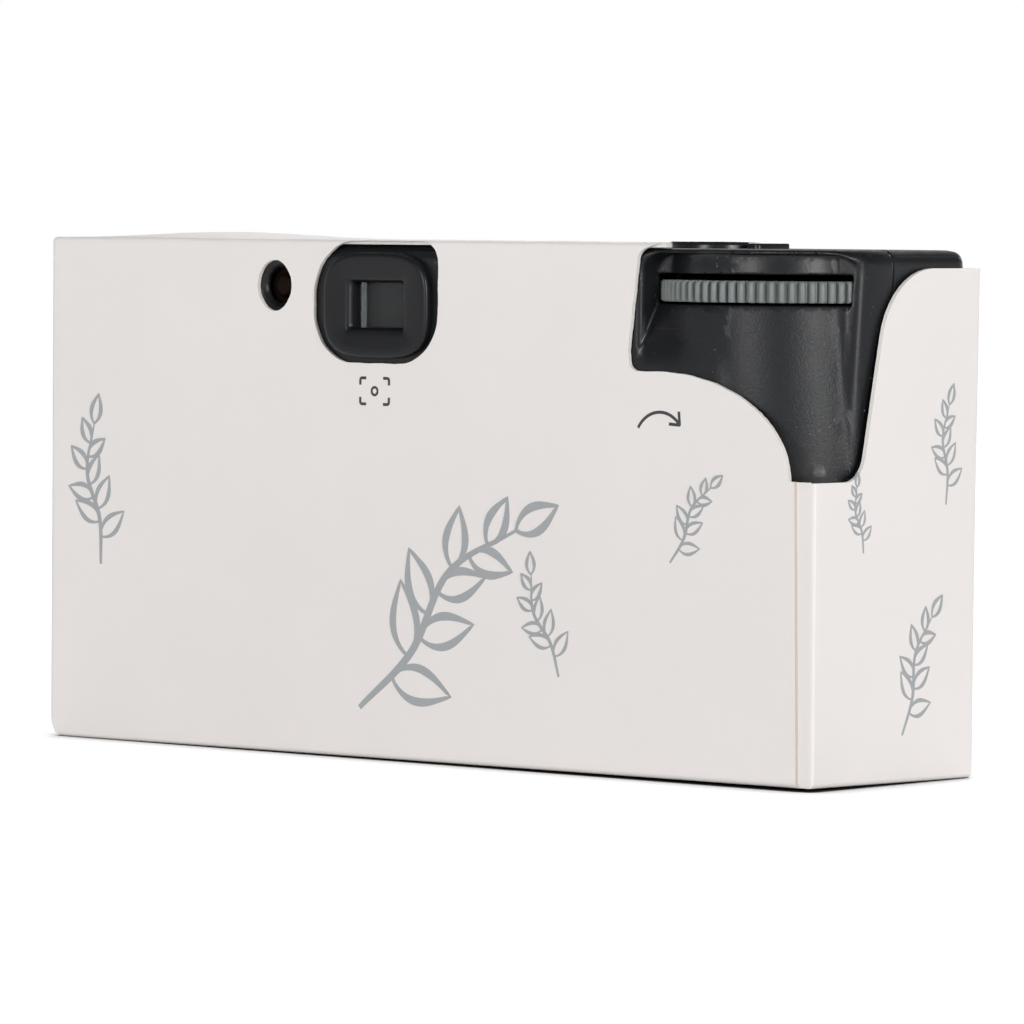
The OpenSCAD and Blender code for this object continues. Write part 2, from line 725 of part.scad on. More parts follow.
// Sprung pawl: its tip lies against the teeth of the wheel
module ratchet_pawl() {
  pivot = [pawl_x, pawl_y];
  tip_a = pawl_a + pawl_lead;
  tip = [wheel_x, wheel_y] + (wheel_r + pawl_tip_gap) * [cos(tip_a), sin(tip_a)];
  along = (tip - pivot) / norm(tip - pivot);
  across = pawl_half_w * [-along[1], along[0]];
  color("#7a7d80") translate([0, 0, deck_z1 + gap]) linear_extrude(pawl_t) difference() {
    union() {
      translate(pivot) circle(pawl_boss_r);
      polygon([tip, pivot + across, pivot - across]);
    }
    translate(pivot) circle(pivot_r + run_fit);
  }
}

module cartridge_shell() {
  color("#b9bcc0") translate([wheel_x, wheel_y, cartridge_z0 + cap_t]) difference() {
    cylinder(r = cartridge_r, h = cartridge_h - 2 * cap_t);
    translate([0, 0, -1]) cylinder(r = cartridge_r - shell_t, h = cartridge_h);
  }
}

module cartridge_caps() {
  color("#3a3c40") {
    translate([wheel_x, wheel_y, cartridge_z0]) difference() {
      cylinder(r = cartridge_r, h = cap_t);
      translate([0, 0, -1]) cylinder(r = spool_pin_r + run_fit, h = cap_t + 2);
    }
    translate([wheel_x, wheel_y, cartridge_z1 - cap_t]) difference() {
      cylinder(r = cartridge_r, h = cap_t);
      translate([0, 0, -1]) cylinder(r = stub_r + run_fit, h = cap_t + 2);
    }
  }
}

module cartridge_spool() {
  core_z0 = cartridge_z0 + cap_t + gap;
  core_z1 = cartridge_z1 - cap_t - gap;
  color("#202225") translate([wheel_x, wheel_y, 0]) difference() {
    union() {
      translate([0, 0, core_z0]) cylinder(r = spool_r, h = core_z1 - core_z0);
      translate([0, 0, cartridge_z0 + gap]) cylinder(r = spool_pin_r, h = core_z0 - cartridge_z0);
      translate([0, 0, core_z1 - eps]) cylinder(r = stub_r, h = stub_z1 - core_z1 + eps);
    }
    translate([0, 0, socket_z]) cylinder(r = shaft_r + run_fit, h = stub_z1 - socket_z + 1);
  }
}

// Film across the gate, from the roll to the mouth of the cartridge
module film_strip() {
  end_x = wheel_x - sqrt(pow(cartridge_r + gap, 2) - pow(gate_y - wheel_y, 2));
  color("#5a3d2e") block(roll_x, end_x, gate_y - film_t, gate_y, film_z0, film_z0 + film_w);
}

module film_roll() {
  color("#5a3d2e") translate([roll_x, roll_y, film_z0]) difference() {
    cylinder(r = roll_r, h = film_w);
    translate([0, 0, -1]) cylinder(r = core_r, h = film_w + 2);
  }
}

module takeup_spool() {
  z0 = in_z0 + bracket_t + gap;
  z1 = bracket_top_z - gap;
  color("#202225") translate([roll_x, roll_y, 0]) {
    translate([0, 0, z0]) cylinder(r = core_r, h = z1 - z0);
    translate([0, 0, in_z0 + gap]) cylinder(r = pin_r, h = bracket_top_z + bracket_t - in_z0 - gap);
  }
}

module sprocket() {
  color("#d8d8d4") translate([sprocket_x, sprocket_y, 0]) {
    translate([0, 0, sprocket_z]) cylinder(r = sprocket_r, h = sprocket_t);
    for (i = [0:sprocket_teeth - 1]) rotate((i + 0.5) * 360 / sprocket_teeth)
      translate([sprocket_r - tooth_w / 2, -tooth_w / 2, sprocket_z + (sprocket_t - tooth_t) / 2])
        cube([sprocket_tip + tooth_w / 2 - run_fit, tooth_w, tooth_t]);
    translate([0, 0, sprocket_z + sprocket_t - eps])
      cylinder(r = sprocket_shaft_r, h = deck_z1 - sprocket_z - sprocket_t);
  }
}

module counter_disc() {
  color("#e8e6e0") translate([counter_x, counter_y, 0]) {
    translate([0, 0, counter_z]) cylinder(r = counter_r, h = counter_t);
    translate([0, 0, deck_z0]) cylinder(r = counter_shaft_r, h = counter_z - deck_z0 + eps);
  }
}

module counter_window() {
  w = counter_window_w - 2 * window_fit;
  d = counter_window_d - 2 * window_fit;
  color([0.8, 0.85, 0.9, 0.5]) translate([counter_window_x, counter_y, 0]) {
    translate([-w / 2, -d / 2, in_z1 - eps]) cube([w, d, wall + eps]);
    translate([-w / 2 - window_flange, -d / 2 - window_flange, in_z1 - window_flange_t])
      cube([w + 2 * window_flange, d + 2 * window_flange, window_flange_t]);
  }
}

module flash_window() {
  color([0.85, 0.88, 0.9, 0.5])
    yplate(flash_x, flash_z, flash_w, flash_h, flash_window_y0, half_d + flash_out);
}

module flash_reflector() {
  tube_room = tube_r + run_fit;
  color("silver") difference() {
    block(flash_x - flash_w / 2, flash_x + flash_w / 2, reflector_y0, flash_window_y0,
      flash_z - flash_h / 2, flash_z + flash_h / 2);
    translate([flash_x - flash_w / 2 + reflector_end, flash_window_y0, flash_z]) rotate([0, 90, 0])
      cylinder(r = trough_r, h = flash_w - 2 * reflector_end);
    translate([flash_x - flash_w, tube_y, flash_z]) rotate([0, 90, 0])
      cylinder(r = tube_room, h = 2 * flash_w);
  }
}

module flash_tube() {
  color([0.9, 0.92, 0.95, 0.6]) translate([flash_x - flash_w / 2 - tube_end, tube_y, flash_z])
    rotate([0, 90, 0]) cylinder(r = tube_r, h = flash_w + 2 * tube_end);
}

module circuit_board() {
  color("#2f6b45") block(circuit_x0, circuit_x1, circuit_y0, circuit_y1, in_z0, circuit_z1);
}

module capacitor() {
  color("#2a2f3a") translate([capacitor_x, capacitor_y, in_z0])
    cylinder(r = capacitor_d / 2, h = capacitor_l);
}

module transformer() {
  color("#c8a24a")
    translate([capacitor_x - transformer_size[0] / 2, circuit_y0 - transformer_size[1],
               in_z0 + capacitor_l + gap])
    cube(transformer_size);
}

module battery() {
  nub_r = 1.9;
  nub_h = 0.8;
  color("#30343a") {
    translate([cell_x0, cell_y, cell_z]) rotate([0, 90, 0]) cylinder(r = cell_r, h = cell_l - nub_h);
    translate([cell_x0 + cell_l - nub_h - eps, cell_y, cell_z]) rotate([0, 90, 0])
      cylinder(r = nub_r, h = nub_h + eps);
  }
}

module battery_contacts() {
  color("#c9ccd0") for (x = [cell_x0 - contact_t, cell_x0 + cell_l])
    block(x, x + contact_t, cell_y - contact_w / 2, cell_y + contact_w / 2, in_z0, in_z0 + contact_h);
}

// Lamp with a flange that lies against the inside of the rear cover
module ready_lamp() {
  color("#e0583a") {
    ycyl(lamp_x, lamp_z, lamp_r, -half_d + lamp_sunk, -in_y + lamp_back);
    ycyl(lamp_x, lamp_z, lamp_r + lamp_flange, -in_y, -in_y + lamp_flange_t);
  }
}

module flash_button() {
  color("#d8d8d8") {
    ycyl(flash_button_x, flash_button_z, flash_button_r, in_y - gap - eps, half_d + flash_button_out);
    ycyl(flash_button_x, flash_button_z, flash_button_r + flash_flange,
      in_y - gap - flash_flange_t, in_y - gap);
  }
}

sleeve();
front_cover();
rear_cover();
chassis();
eyepiece_frame();
eyepiece_lens();
finder_lens();
taking_lens();
lens_ring();
aperture_plate();
shutter_blade();
shutter_spring();
release_lever();
shutter_button();
advance_wheel();
ratchet_pawl();
cartridge_shell();
cartridge_caps();
cartridge_spool();
film_strip();
film_roll();
takeup_spool();
sprocket();
counter_disc();
counter_window();
flash_window();
flash_reflector();
flash_tube();
circuit_board();
capacitor();
transformer();
battery();
battery_contacts();
ready_lamp();
flash_button();
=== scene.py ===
import math

import bmesh
import bpy
import numpy as np
import openvdb
from bpy.props import FloatProperty, FloatVectorProperty, IntProperty, PointerProperty
from mathutils import Euler, Matrix, Vector


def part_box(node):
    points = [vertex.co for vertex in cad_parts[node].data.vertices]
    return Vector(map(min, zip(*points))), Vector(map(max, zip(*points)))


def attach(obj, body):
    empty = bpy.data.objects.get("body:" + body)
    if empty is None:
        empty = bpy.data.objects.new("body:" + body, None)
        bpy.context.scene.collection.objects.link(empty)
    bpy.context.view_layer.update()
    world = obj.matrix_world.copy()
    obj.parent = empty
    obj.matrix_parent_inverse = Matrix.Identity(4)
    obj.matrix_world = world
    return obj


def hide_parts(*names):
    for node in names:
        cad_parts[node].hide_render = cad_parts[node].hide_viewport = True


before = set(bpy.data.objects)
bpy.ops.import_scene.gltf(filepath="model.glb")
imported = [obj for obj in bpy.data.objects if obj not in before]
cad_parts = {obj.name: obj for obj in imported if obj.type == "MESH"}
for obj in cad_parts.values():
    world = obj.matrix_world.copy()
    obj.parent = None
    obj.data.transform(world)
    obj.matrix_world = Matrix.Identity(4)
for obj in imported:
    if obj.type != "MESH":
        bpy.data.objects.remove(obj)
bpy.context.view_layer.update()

bl_info = {
    "name": "Disposable film camera",
    "version": (1, 0, 0),
    "blender": (4, 5, 0),
    "location": "View3D > Sidebar > Film Camera",
    "description": "Dresses the pieces of a disposable film camera in a paperboard sleeve",
    "category": "Object",
}

# The script works in millimetres; meshes are written in metres
MM = 0.001


def box_mm(node):
    """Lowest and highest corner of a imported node, in millimetres"""
    low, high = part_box(node)
    return np.array(low) / MM, np.array(high) / MM


def middle(node):
    """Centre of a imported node's box, in millimetres"""
    low, high = box_mm(node)
    return (low + high) / 2


REAR_LOW, REAR_HIGH = box_mm("rear_cover")
FRONT_LOW, FRONT_HIGH = box_mm("front_cover")
SLEEVE_LOW, SLEEVE_HIGH = box_mm("sleeve")
HALF_W = REAR_HIGH[0]
HALF_D = -REAR_LOW[1]
BASE_Z = REAR_LOW[2]
TOP_Z = REAR_HIGH[2]
WHEEL = middle("advance_wheel")
WHEEL_LOW, WHEEL_HIGH = box_mm("advance_wheel")
WHEEL_R = (WHEEL_HIGH[0] - WHEEL_LOW[0]) / 2
FINDER = middle("eyepiece_frame")
LAMP = middle("ready_lamp")
BUTTON_LOW, BUTTON_HIGH = box_mm("shutter_button")
LENS = middle("taking_lens")
FLASH = middle("flash_window")
FLASH_BUTTON = middle("flash_button")
COUNTER = middle("counter_disc")
COUNTER_WINDOW = middle("counter_window")


# Limits that like settings share
FINE = {"min": 0, "precision": 5}
RGB = {"size": 3, "min": 0, "max": 1}


# Settings that a user would change
class PaperSettings(bpy.types.PropertyGroup):
    """Paperboard sleeve"""

    board: FloatProperty(name="Board", description="Thickness of the paperboard",
                         default=0.5 * MM, unit="LENGTH", **FINE)
    fold: FloatProperty(name="Fold", description="Outer radius of a fold",
                        default=0.6 * MM, unit="LENGTH", **FINE)
    seam_in: FloatProperty(name="Seam", description="Glued edge of the rear panel, in from the right fold",
                           default=2.0 * MM, unit="LENGTH", **FINE)
    seam_step: FloatProperty(name="Seam step", description="How far the glue flap lies under the rear panel",
                             default=0.4 * MM, unit="LENGTH", **FINE)
    seam_slant: FloatProperty(name="Seam slant", description="How far the glued edge leans in at the top",
                              default=1.0 * MM, unit="LENGTH", **FINE)
    lift: FloatProperty(name="Lift", description="Rise of the lower edge at the right corner",
                        default=0.5 * MM, unit="LENGTH", **FINE)
    toe: FloatProperty(name="Toe", description="How far the lower left corner is drawn in",
                       default=1.7 * MM, unit="LENGTH", **FINE)
    hump: FloatProperty(name="Hump", description="How far the top panel rises between its folds",
                        default=0.75 * MM, unit="LENGTH", **FINE)
    belly: FloatProperty(name="Belly", description="How far the short sides bulge",
                         default=0.35 * MM, unit="LENGTH", **FINE)
    paper: FloatVectorProperty(name="Paper", description="Colour of the coated face", subtype="COLOR",
                               default=(0.815, 0.780, 0.760), **RGB)
    core: FloatVectorProperty(name="Core", description="Colour of the cut edges", subtype="COLOR",
                              default=(0.80, 0.77, 0.73), **RGB)
    # Seam colour: the cut edge's own tone, darkened further with painted shade of the seam's step
    glue: FloatVectorProperty(name="Glue", description="Colour of the glued edge", subtype="COLOR",
                              default=(0.52, 0.45, 0.40), **RGB)
    ink: FloatVectorProperty(name="Ink", description="Colour of the printed sprigs", subtype="COLOR",
                             default=(0.36, 0.375, 0.39), **RGB)
    mark: FloatVectorProperty(name="Mark", description="Colour of the small printed signs", subtype="COLOR",
                              default=(0.045, 0.045, 0.05), **RGB)


class MouldSettings(bpy.types.PropertyGroup):
    """Moulded covers"""

    voxel: FloatProperty(name="Voxel", description="Step of the grid from which the covers are meshed",
                         default=0.17 * MM, min=0.1 * MM, unit="LENGTH", precision=5)
    wall: FloatProperty(name="Wall", description="Wall of the covers",
                        default=1.2 * MM, unit="LENGTH", **FINE)
    edge: FloatProperty(name="Edge", description="Radius along the top and bottom edges",
                        default=1.6 * MM, unit="LENGTH", **FINE)
    side: FloatProperty(name="Side edge", description="Radius of the plain upright edges",
                        default=2.4 * MM, unit="LENGTH", **FINE)
    corner: FloatProperty(name="Corner", description="Radius of the upright corner below the wheel",
                          default=13.8 * MM, unit="LENGTH", **FINE)
    plastic: FloatVectorProperty(name="Plastic", description="Colour of the covers", subtype="COLOR",
                                 default=(0.0088, 0.0095, 0.0112), **RGB)
    wheel: FloatVectorProperty(name="Wheel", description="Colour of the advance wheel", subtype="COLOR",
                               default=(0.17, 0.186, 0.184), **RGB)
    teeth: IntProperty(name="Teeth", description="Number of ribs on the advance wheel", default=75, min=8)


class StageSettings(bpy.types.PropertyGroup):
    """Camera of the picture and its light"""

    azimuth: FloatProperty(name="Azimuth", description="Turn of the view from straight behind",
                           default=math.radians(40.36), subtype="ANGLE")
    elevation: FloatProperty(name="Elevation", description="Height of the view",
                             default=math.radians(2.47), subtype="ANGLE")
    roll: FloatProperty(name="Roll", description="Tilt of the picture",
                        default=math.radians(0.44), subtype="ANGLE")
    distance: FloatProperty(name="Distance", description="From the lens to the middle of the object",
                            default=0.7851, min=0, unit="LENGTH", precision=4)
    aim: FloatVectorProperty(name="Aim", description="Point in the middle of the picture", subtype="XYZ",
                             size=3, default=(0.00216, 0.0, 0.02852), unit="LENGTH", precision=5)
    focal: FloatProperty(name="Focal length", description="On a sensor 36 mm wide", default=237.5, min=1)
    floor: FloatVectorProperty(name="Floor", description="Colour of the floor", subtype="COLOR",
                               default=(0.9, 0.9, 0.9), **RGB)


class FilmCameraSettings(bpy.types.PropertyGroup):
    """All settings of the film camera"""

    paper: PointerProperty(type=PaperSettings)
    mould: PointerProperty(type=MouldSettings)
    stage: PointerProperty(type=StageSettings)


def settings():
    """The film camera's settings in this scene"""
    return bpy.context.scene.film_camera


# Shader expressions
class Shade:
    """A socket in a material's node tree. Arithmetic on it adds Math nodes; node() adds any other node."""

    def __init__(self, tree, socket=None):
        self.tree = tree
        self.socket = socket

    def node(self, kind, setup=None, inputs=None, out=0):
        """Adds a node: its settings first, then the values or links of its sockets"""
        made = self.tree.nodes.new(kind)
        for key, value in (setup or {}).items():
            setattr(made, key, value)
        for key, value in (inputs or {}).items():
            if isinstance(value, Shade):
                self.tree.links.new(value.socket, made.inputs[key])
            else:
                made.inputs[key].default_value = value
        return Shade(self.tree, made.outputs[out] if made.outputs else None)

    def maths(self, operation, *values):
        return self.node("ShaderNodeMath", {"operation": operation}, dict(enumerate(values)))

    def __add__(self, other):
        return self.maths("ADD", self, other)

    def __sub__(self, other):
        return self.maths("SUBTRACT", self, other)

    def __mul__(self, other):
        return self.maths("MULTIPLY", self, other)

    def __rsub__(self, other):
        return self.maths("SUBTRACT", other, self)

    __radd__ = __add__
    __rmul__ = __mul__

    def place(self):
        """Object coordinates, in metres"""
        return self.node("ShaderNodeTexCoord", out="Object")

    def noise(self, scale, detail=2.0, rough=0.5, stretch=None):
        """Noise on the object's own coordinates"""
        where = self.place()
        if stretch:
            where = self.node("ShaderNodeMapping", {}, {"Vector": where, "Scale": stretch})
        return self.node("ShaderNodeTexNoise", {},
                         {"Vector": where, "Scale": scale, "Detail": detail, "Roughness": rough})

    def spread(self, low, high, out_low=0.0, out_high=1.0):
        """This value, mapped from one range to another and clamped"""
        return self.node("ShaderNodeMapRange", {}, {"Value": self, "From Min": low, "From Max": high,
                                                    "To Min": out_low, "To Max": out_high})

    def attribute(self, name):
        """A value stored on the piece's own mesh"""
        return self.node("ShaderNodeAttribute", {"attribute_name": name}, out="Fac")

    def tint(self, first, second):
        """A colour between two, by this value"""
        return self.node("ShaderNodeMix", {"data_type": "RGBA"}, {0: self, 6: first, 7: second}, out=2)

    def bump(self, height, distance, strength):
        """A Normal from a height, in metres"""
        return self.node("ShaderNodeBump", {}, {"Strength": strength, "Distance": distance, "Height": height})


def rgba(colour, gain=1.0):
    """A colour with full alpha, made lighter or darker by a gain"""
    return (*(min(1.0, c * gain) for c in colour[:3]), 1.0)


def blank_tree(owner):
    """The emptied node tree of a material or a world, as the start of expressions"""
    owner.use_nodes = True
    owner.node_tree.nodes.clear()
    return Shade(owner.node_tree)


MATERIALS = {}


def material(name, recipe):
    """A material whose Principled inputs come from recipe(shade); made once"""
    if name not in MATERIALS:
        made = bpy.data.materials.new(name)
        start = blank_tree(made)
        shader = start.node("ShaderNodeBsdfPrincipled", {}, recipe(start))
        start.node("ShaderNodeOutputMaterial", {}, {"Surface": shader})
        MATERIALS[name] = made
    return MATERIALS[name]


# Finishes
def card_face(s):
    """Coated white paperboard"""
    paper = settings().paper.paper
    fibre = s.noise(5200, 4.0, 0.6)
    mottle = s.noise(55, 3.0, 0.55)
    shade = mottle * 0.7 + fibre * 0.3
    return {"Base Color": shade.tint(rgba(paper, 0.965), rgba(paper, 1.03)),
            "Roughness": fibre.spread(0.3, 0.7, 0.54, 0.66), "Specular IOR Level": 0.14,
            "Normal": s.bump(fibre * 0.6 + s.noise(420, 2.0) * 0.4, 0.00003, 0.35)}


def card_core(s):
    """Bare fibres along a cut edge"""
    core = settings().paper.core
    fibre = s.noise(7000, 3.0, 0.7)
    return {"Base Color": fibre.tint(rgba(core, 0.86), rgba(core, 1.04)), "Roughness": 0.9,
            "Specular IOR Level": 0.2, "Normal": s.bump(fibre, 0.00006, 0.6)}


def printed(colour, rough):
    """Ink on paperboard, a little uneven; it also gives the seam its colour, the cut edge's tone darkened
    with painted shade
    """
    def recipe(s):
        fibre = s.noise(5200, 4.0, 0.6)
        return {"Base Color": fibre.tint(rgba(colour, 0.88), rgba(colour, 1.12)),
                "Roughness": fibre.spread(0.3, 0.7, rough - 0.05, rough + 0.08), "Specular IOR Level": 0.4,
                "Normal": s.bump(fibre, 0.00003, 0.3)}
    return recipe


def moulded(s):
    """Black plastic of the covers: spark grain where the mesh says so, smooth elsewhere, some dust"""
    plastic = settings().mould.plastic
    grain = s.attribute("grain")
    spark = s.noise(3300, 3.0, 0.62)
    cloud = s.noise(150, 3.0, 0.6)
    dust = s.noise(2600, 1.0, 0.4).spread(0.73, 0.76) * s.noise(210, 2.0).spread(0.5, 0.62)
    base = (cloud * 0.6 + spark * grain * 0.4).tint(rgba(plastic, 0.82), rgba(plastic, 1.25))
    return {"Base Color": dust.tint(base, (0.12, 0.12, 0.12, 1.0)),
            "Roughness": (grain * 0.08 + cloud * 0.08 + 0.24) + spark * grain * 0.1,
            "Specular IOR Level": 0.28,
            "Normal": s.bump(spark * grain + cloud * 0.06, 0.000045, 0.8)}


def plain_plastic(colour, rough=0.4, grain=0.00003, gloss=0.4):
    """Moulded plastic of the small pieces and the inside"""
    def recipe(s):
        spark = s.noise(4600, 3.0, 0.6)
        cloud = s.noise(260, 2.0, 0.5)
        return {"Base Color": (cloud * 0.7 + spark * 0.3).tint(rgba(colour, 0.86), rgba(colour, 1.16)),
                "Roughness": (cloud + spark).spread(0.6, 1.4, rough - 0.07, rough + 0.1),
                "Specular IOR Level": gloss, "Normal": s.bump(spark, grain, 0.6)}
    return recipe


def clear(colour, ior, rough=0.02, through=1.0):
    """Clear plastic or glass with faint smears"""
    def recipe(s):
        smear = s.noise(300, 3.0, 0.6, (1.0, 1.0, 2.5))
        return {"Base Color": smear.tint(rgba(colour, 0.96), rgba(colour)), "IOR": ior,
                "Transmission Weight": through, "Roughness": smear.spread(0.45, 0.8, rough, rough + 0.08)}
    return recipe


def frosted(s):
    """Ribbed flash window: milky clear plastic"""
    cloud = s.noise(420, 2.0)
    return {"Base Color": cloud.tint((0.86, 0.89, 0.90, 1.0), (0.93, 0.95, 0.96, 1.0)), "IOR": 1.49,
            "Transmission Weight": 0.85, "Roughness": cloud.spread(0.3, 0.7, 0.16, 0.26)}


def metal(colour, rough, brushed=(1.0, 1.0, 1.0)):
    """Sheet metal with a drawn finish"""
    def recipe(s):
        draw = s.noise(2400, 3.0, 0.6, brushed)
        return {"Base Color": draw.tint(rgba(colour, 0.88), rgba(colour, 1.08)), "Metallic": 1.0,
                "Roughness": draw.spread(0.25, 0.75, rough - 0.05, rough + 0.1),
                "Normal": s.bump(draw, 0.00002, 0.3)}
    return recipe


def board_green(s):
    """Solder mask with faint tracks"""
    track = s.node("ShaderNodeTexBrick", {"offset": 0.35}, {
        "Vector": s.node("ShaderNodeMapping", {}, {"Vector": s.place(), "Rotation": (math.pi / 2, 0, 0)}),
        "Scale": 260.0, "Mortar Size": 0.035, "Color1": (0, 0, 0, 1), "Color2": (0, 0, 0, 1),
        "Mortar": (1, 1, 1, 1)}, out=1)
    return {"Base Color": track.tint((0.010, 0.075, 0.035, 1.0), (0.025, 0.135, 0.060, 1.0)),
            "Roughness": s.noise(900).spread(0.3, 0.7, 0.26, 0.4), "Normal": s.bump(track, 0.00005, 0.5)}


def wound_copper(s):
    """Coil under tape: fine turns"""
    turns = s.node("ShaderNodeTexWave", {"wave_type": "BANDS", "bands_direction": "Z"},
                   {"Vector": s.place(), "Scale": 900.0, "Distortion": 0.6, "Detail": 1.0})
    return {"Base Color": turns.tint((0.20, 0.085, 0.02, 1.0), (0.55, 0.30, 0.09, 1.0)), "Metallic": 0.4,
            "Roughness": turns.spread(0.0, 1.0, 0.5, 0.32), "Normal": s.bump(turns, 0.0001, 0.6)}


def wrapped(colour, ring):
    """Printed wrap of a cell or a capacitor, with one pale band"""
    low, high = ring

    def recipe(s):
        along = s.node("ShaderNodeSeparateXYZ", {}, {"Vector": s.place()}, out=0)
        band = along.spread(low * MM, low * MM + 1e-5) * (1 - along.spread(high * MM, high * MM + 1e-5))
        cloud = s.noise(500, 2.0)
        return {"Base Color": band.tint(rgba(colour), (0.55, 0.55, 0.53, 1.0)),
                "Roughness": cloud.spread(0.3, 0.7, 0.25, 0.4), "Normal": s.bump(cloud, 0.00004, 0.3)}
    return recipe


def film_base(s):
    """Brown film, glossy, with a slight curl in the sheen"""
    sheen = s.noise(90, 2.0, 0.5, (0.3, 1.0, 1.0))
    return {"Base Color": sheen.tint((0.060, 0.028, 0.016, 1.0), (0.100, 0.050, 0.028, 1.0)),
            "Roughness": sheen.spread(0.3, 0.7, 0.16, 0.3)}


def dark_lamp(s):
    """Unlit neon lamp: amber glass, its colour darkened nearly to black as painted shade of the deep hole it
    sits in
    """
    cloud = s.noise(900, 2.0)
    return {"Base Color": cloud.tint((0.006, 0.003, 0.002, 1.0), (0.011, 0.005, 0.003, 1.0)),
            "Roughness": cloud.spread(0.3, 0.7, 0.45, 0.6), "Specular IOR Level": 0.06}


def placed(name, data):
    """A new object in the scene, at the origin"""
    made = bpy.data.objects.new(name, data)
    bpy.context.scene.collection.objects.link(made)
    return made


# Angle in degrees over which an edge is sharp
SHARP = 35.0


# Shapes from points in millimetres
def shape(name, points, faces, materials, picks=None, sharp=SHARP, turn=True):
    """An object at the origin from points in millimetres, smooth but for edges over the sharp angle"""
    mesh = bpy.data.meshes.new(name)
    mesh.from_pydata((np.asarray(points, float) * MM).tolist(), [], [list(map(int, f)) for f in faces])
    for finish in materials:
        mesh.materials.append(finish)
    if picks is not None:
        mesh.polygons.foreach_set("material_index", np.asarray(picks, np.int32))
    if turn:
        outward(mesh)
    smooth(mesh, sharp)
    return placed(name, mesh)


def smooth(mesh, sharp):
    """Smooth shading, but for edges over an angle in degrees"""
    mesh.shade_smooth()
    mesh.set_sharp_from_angle(angle=math.radians(sharp))


def outward(mesh):
    """Faces of a closed mesh point outwards"""
    work = bmesh.new()
    work.from_mesh(mesh)
    bmesh.ops.remove_doubles(work, verts=work.verts, dist=1e-7)
    bmesh.ops.recalc_face_normals(work, faces=work.faces)
    work.to_mesh(mesh)
    work.free()


def evaluated(piece):
    """The piece's mesh with its modifiers applied"""
    graph = bpy.context.evaluated_depsgraph_get()
    return bpy.data.meshes.new_from_object(piece.evaluated_get(graph), depsgraph=graph)


def read(items, field, width=1, kind=float):
    """A field of all points, corners or faces of a mesh"""
    values = np.empty(len(items) * width, kind)
    items.foreach_get(field, values)
    return values.reshape(-1, width) if width > 1 else values


def gather(parts):
    """Points and faces of several shapes as one list"""
    points, faces, start = [], [], 0
    for more, skins in parts:
        points.extend(np.asarray(more, float).tolist())
        faces.extend([tuple(i + start for i in skin) for skin in skins])
        start += len(more)
    return points, faces


def rounded(corners, steps=6, closed=True):
    """Points along straight runs between corners (x, y, radius), each corner an arc"""
    points = []
    last = len(corners) - 1
    for i, (x, y, radius) in enumerate(corners):
        here = np.array([x, y], float)
        if radius <= 0 or (not closed and i in (0, last)):
            points.append(here)
            continue
        back = np.array(corners[i - 1][:2], float) - here
        ahead = np.array(corners[(i + 1) % len(corners)][:2], float) - here
        run_back, run_ahead = np.linalg.norm(back), np.linalg.norm(ahead)
        back, ahead = back / run_back, ahead / run_ahead
        half = math.acos(np.clip(back @ ahead, -1, 1)) / 2
        cut = min(radius / math.tan(half), 0.499 * run_back, 0.499 * run_ahead)
        bisect = (back + ahead) / np.linalg.norm(back + ahead)
        centre = here + bisect * cut / math.cos(half)
        sweep = math.pi - 2 * half
        first, final = here + back * cut - centre, here + ahead * cut - centre
        for k in range(steps + 1):
            t = k / steps
            points.append(centre + (math.sin((1 - t) * sweep) * first + math.sin(t * sweep) * final)
                          / math.sin(sweep))
    return np.array(points)


def rectangle(width, height, radius, steps=6):
    """Outline of a rectangle with round corners, about its middle"""
    w, h = width / 2, height / 2
    return rounded([(w, -h, radius), (w, h, radius), (-w, h, radius), (-w, -h, radius)], steps)


def level(outline, height):
    """A flat outline as a ring of points at a height"""
    return np.column_stack([outline, np.full(len(outline), height)])


def spun(points, angle):
    """Flat points turned about the origin"""
    c, s = math.cos(angle), math.sin(angle)
    return points @ np.array([[c, s], [-s, c]])


def loft(rings, ring_closed=False):
    """Skin over rings of equal count; the ends are capped unless the last ring joins the first"""
    count = len(rings[0])
    points = np.concatenate([np.asarray(r, float) for r in rings])
    faces = []
    for a in range(len(rings) if ring_closed else len(rings) - 1):
        b = (a + 1) % len(rings)
        for i in range(count):
            j = (i + 1) % count
            faces.append((a * count + i, a * count + j, b * count + j, b * count + i))
    if not ring_closed:
        faces.append(tuple(range(count - 1, -1, -1)))
        faces.append(tuple(range((len(rings) - 1) * count, len(rings) * count)))
    return points, faces


def revolve(profile, steps=96, ring=False):
    """A profile of (radius, height) turned round Z; its ends are capped unless it is a closed ring"""
    turn = np.linspace(0, 2 * math.pi, steps, endpoint=False)
    rings = [np.stack([r * np.cos(turn), r * np.sin(turn), np.full(steps, h)], 1) for r, h in profile]
    return loft(rings, ring)


def facing(points, centre, way):
    """Local points (right, up, out) placed at a centre, looking to the rear or the front"""
    right, up, out = np.asarray(points, float).T
    looked = (right, -out, up) if way == "rear" else (-right, out, up)
    return np.stack(looked, 1) + np.asarray(centre, float)


def turned(corners, arc_steps, steps):
    """A profile with round corners (radius, height, rounding), turned round Z"""
    return revolve(rounded(corners, arc_steps, False), steps)


def settle(piece, body, slot, *nodes):
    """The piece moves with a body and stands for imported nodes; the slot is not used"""
    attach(piece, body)
    if nodes:
        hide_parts(*nodes)
    return piece


def dress(node, finish):
    """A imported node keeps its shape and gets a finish"""
    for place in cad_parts[node].material_slots:
        place.material = finish


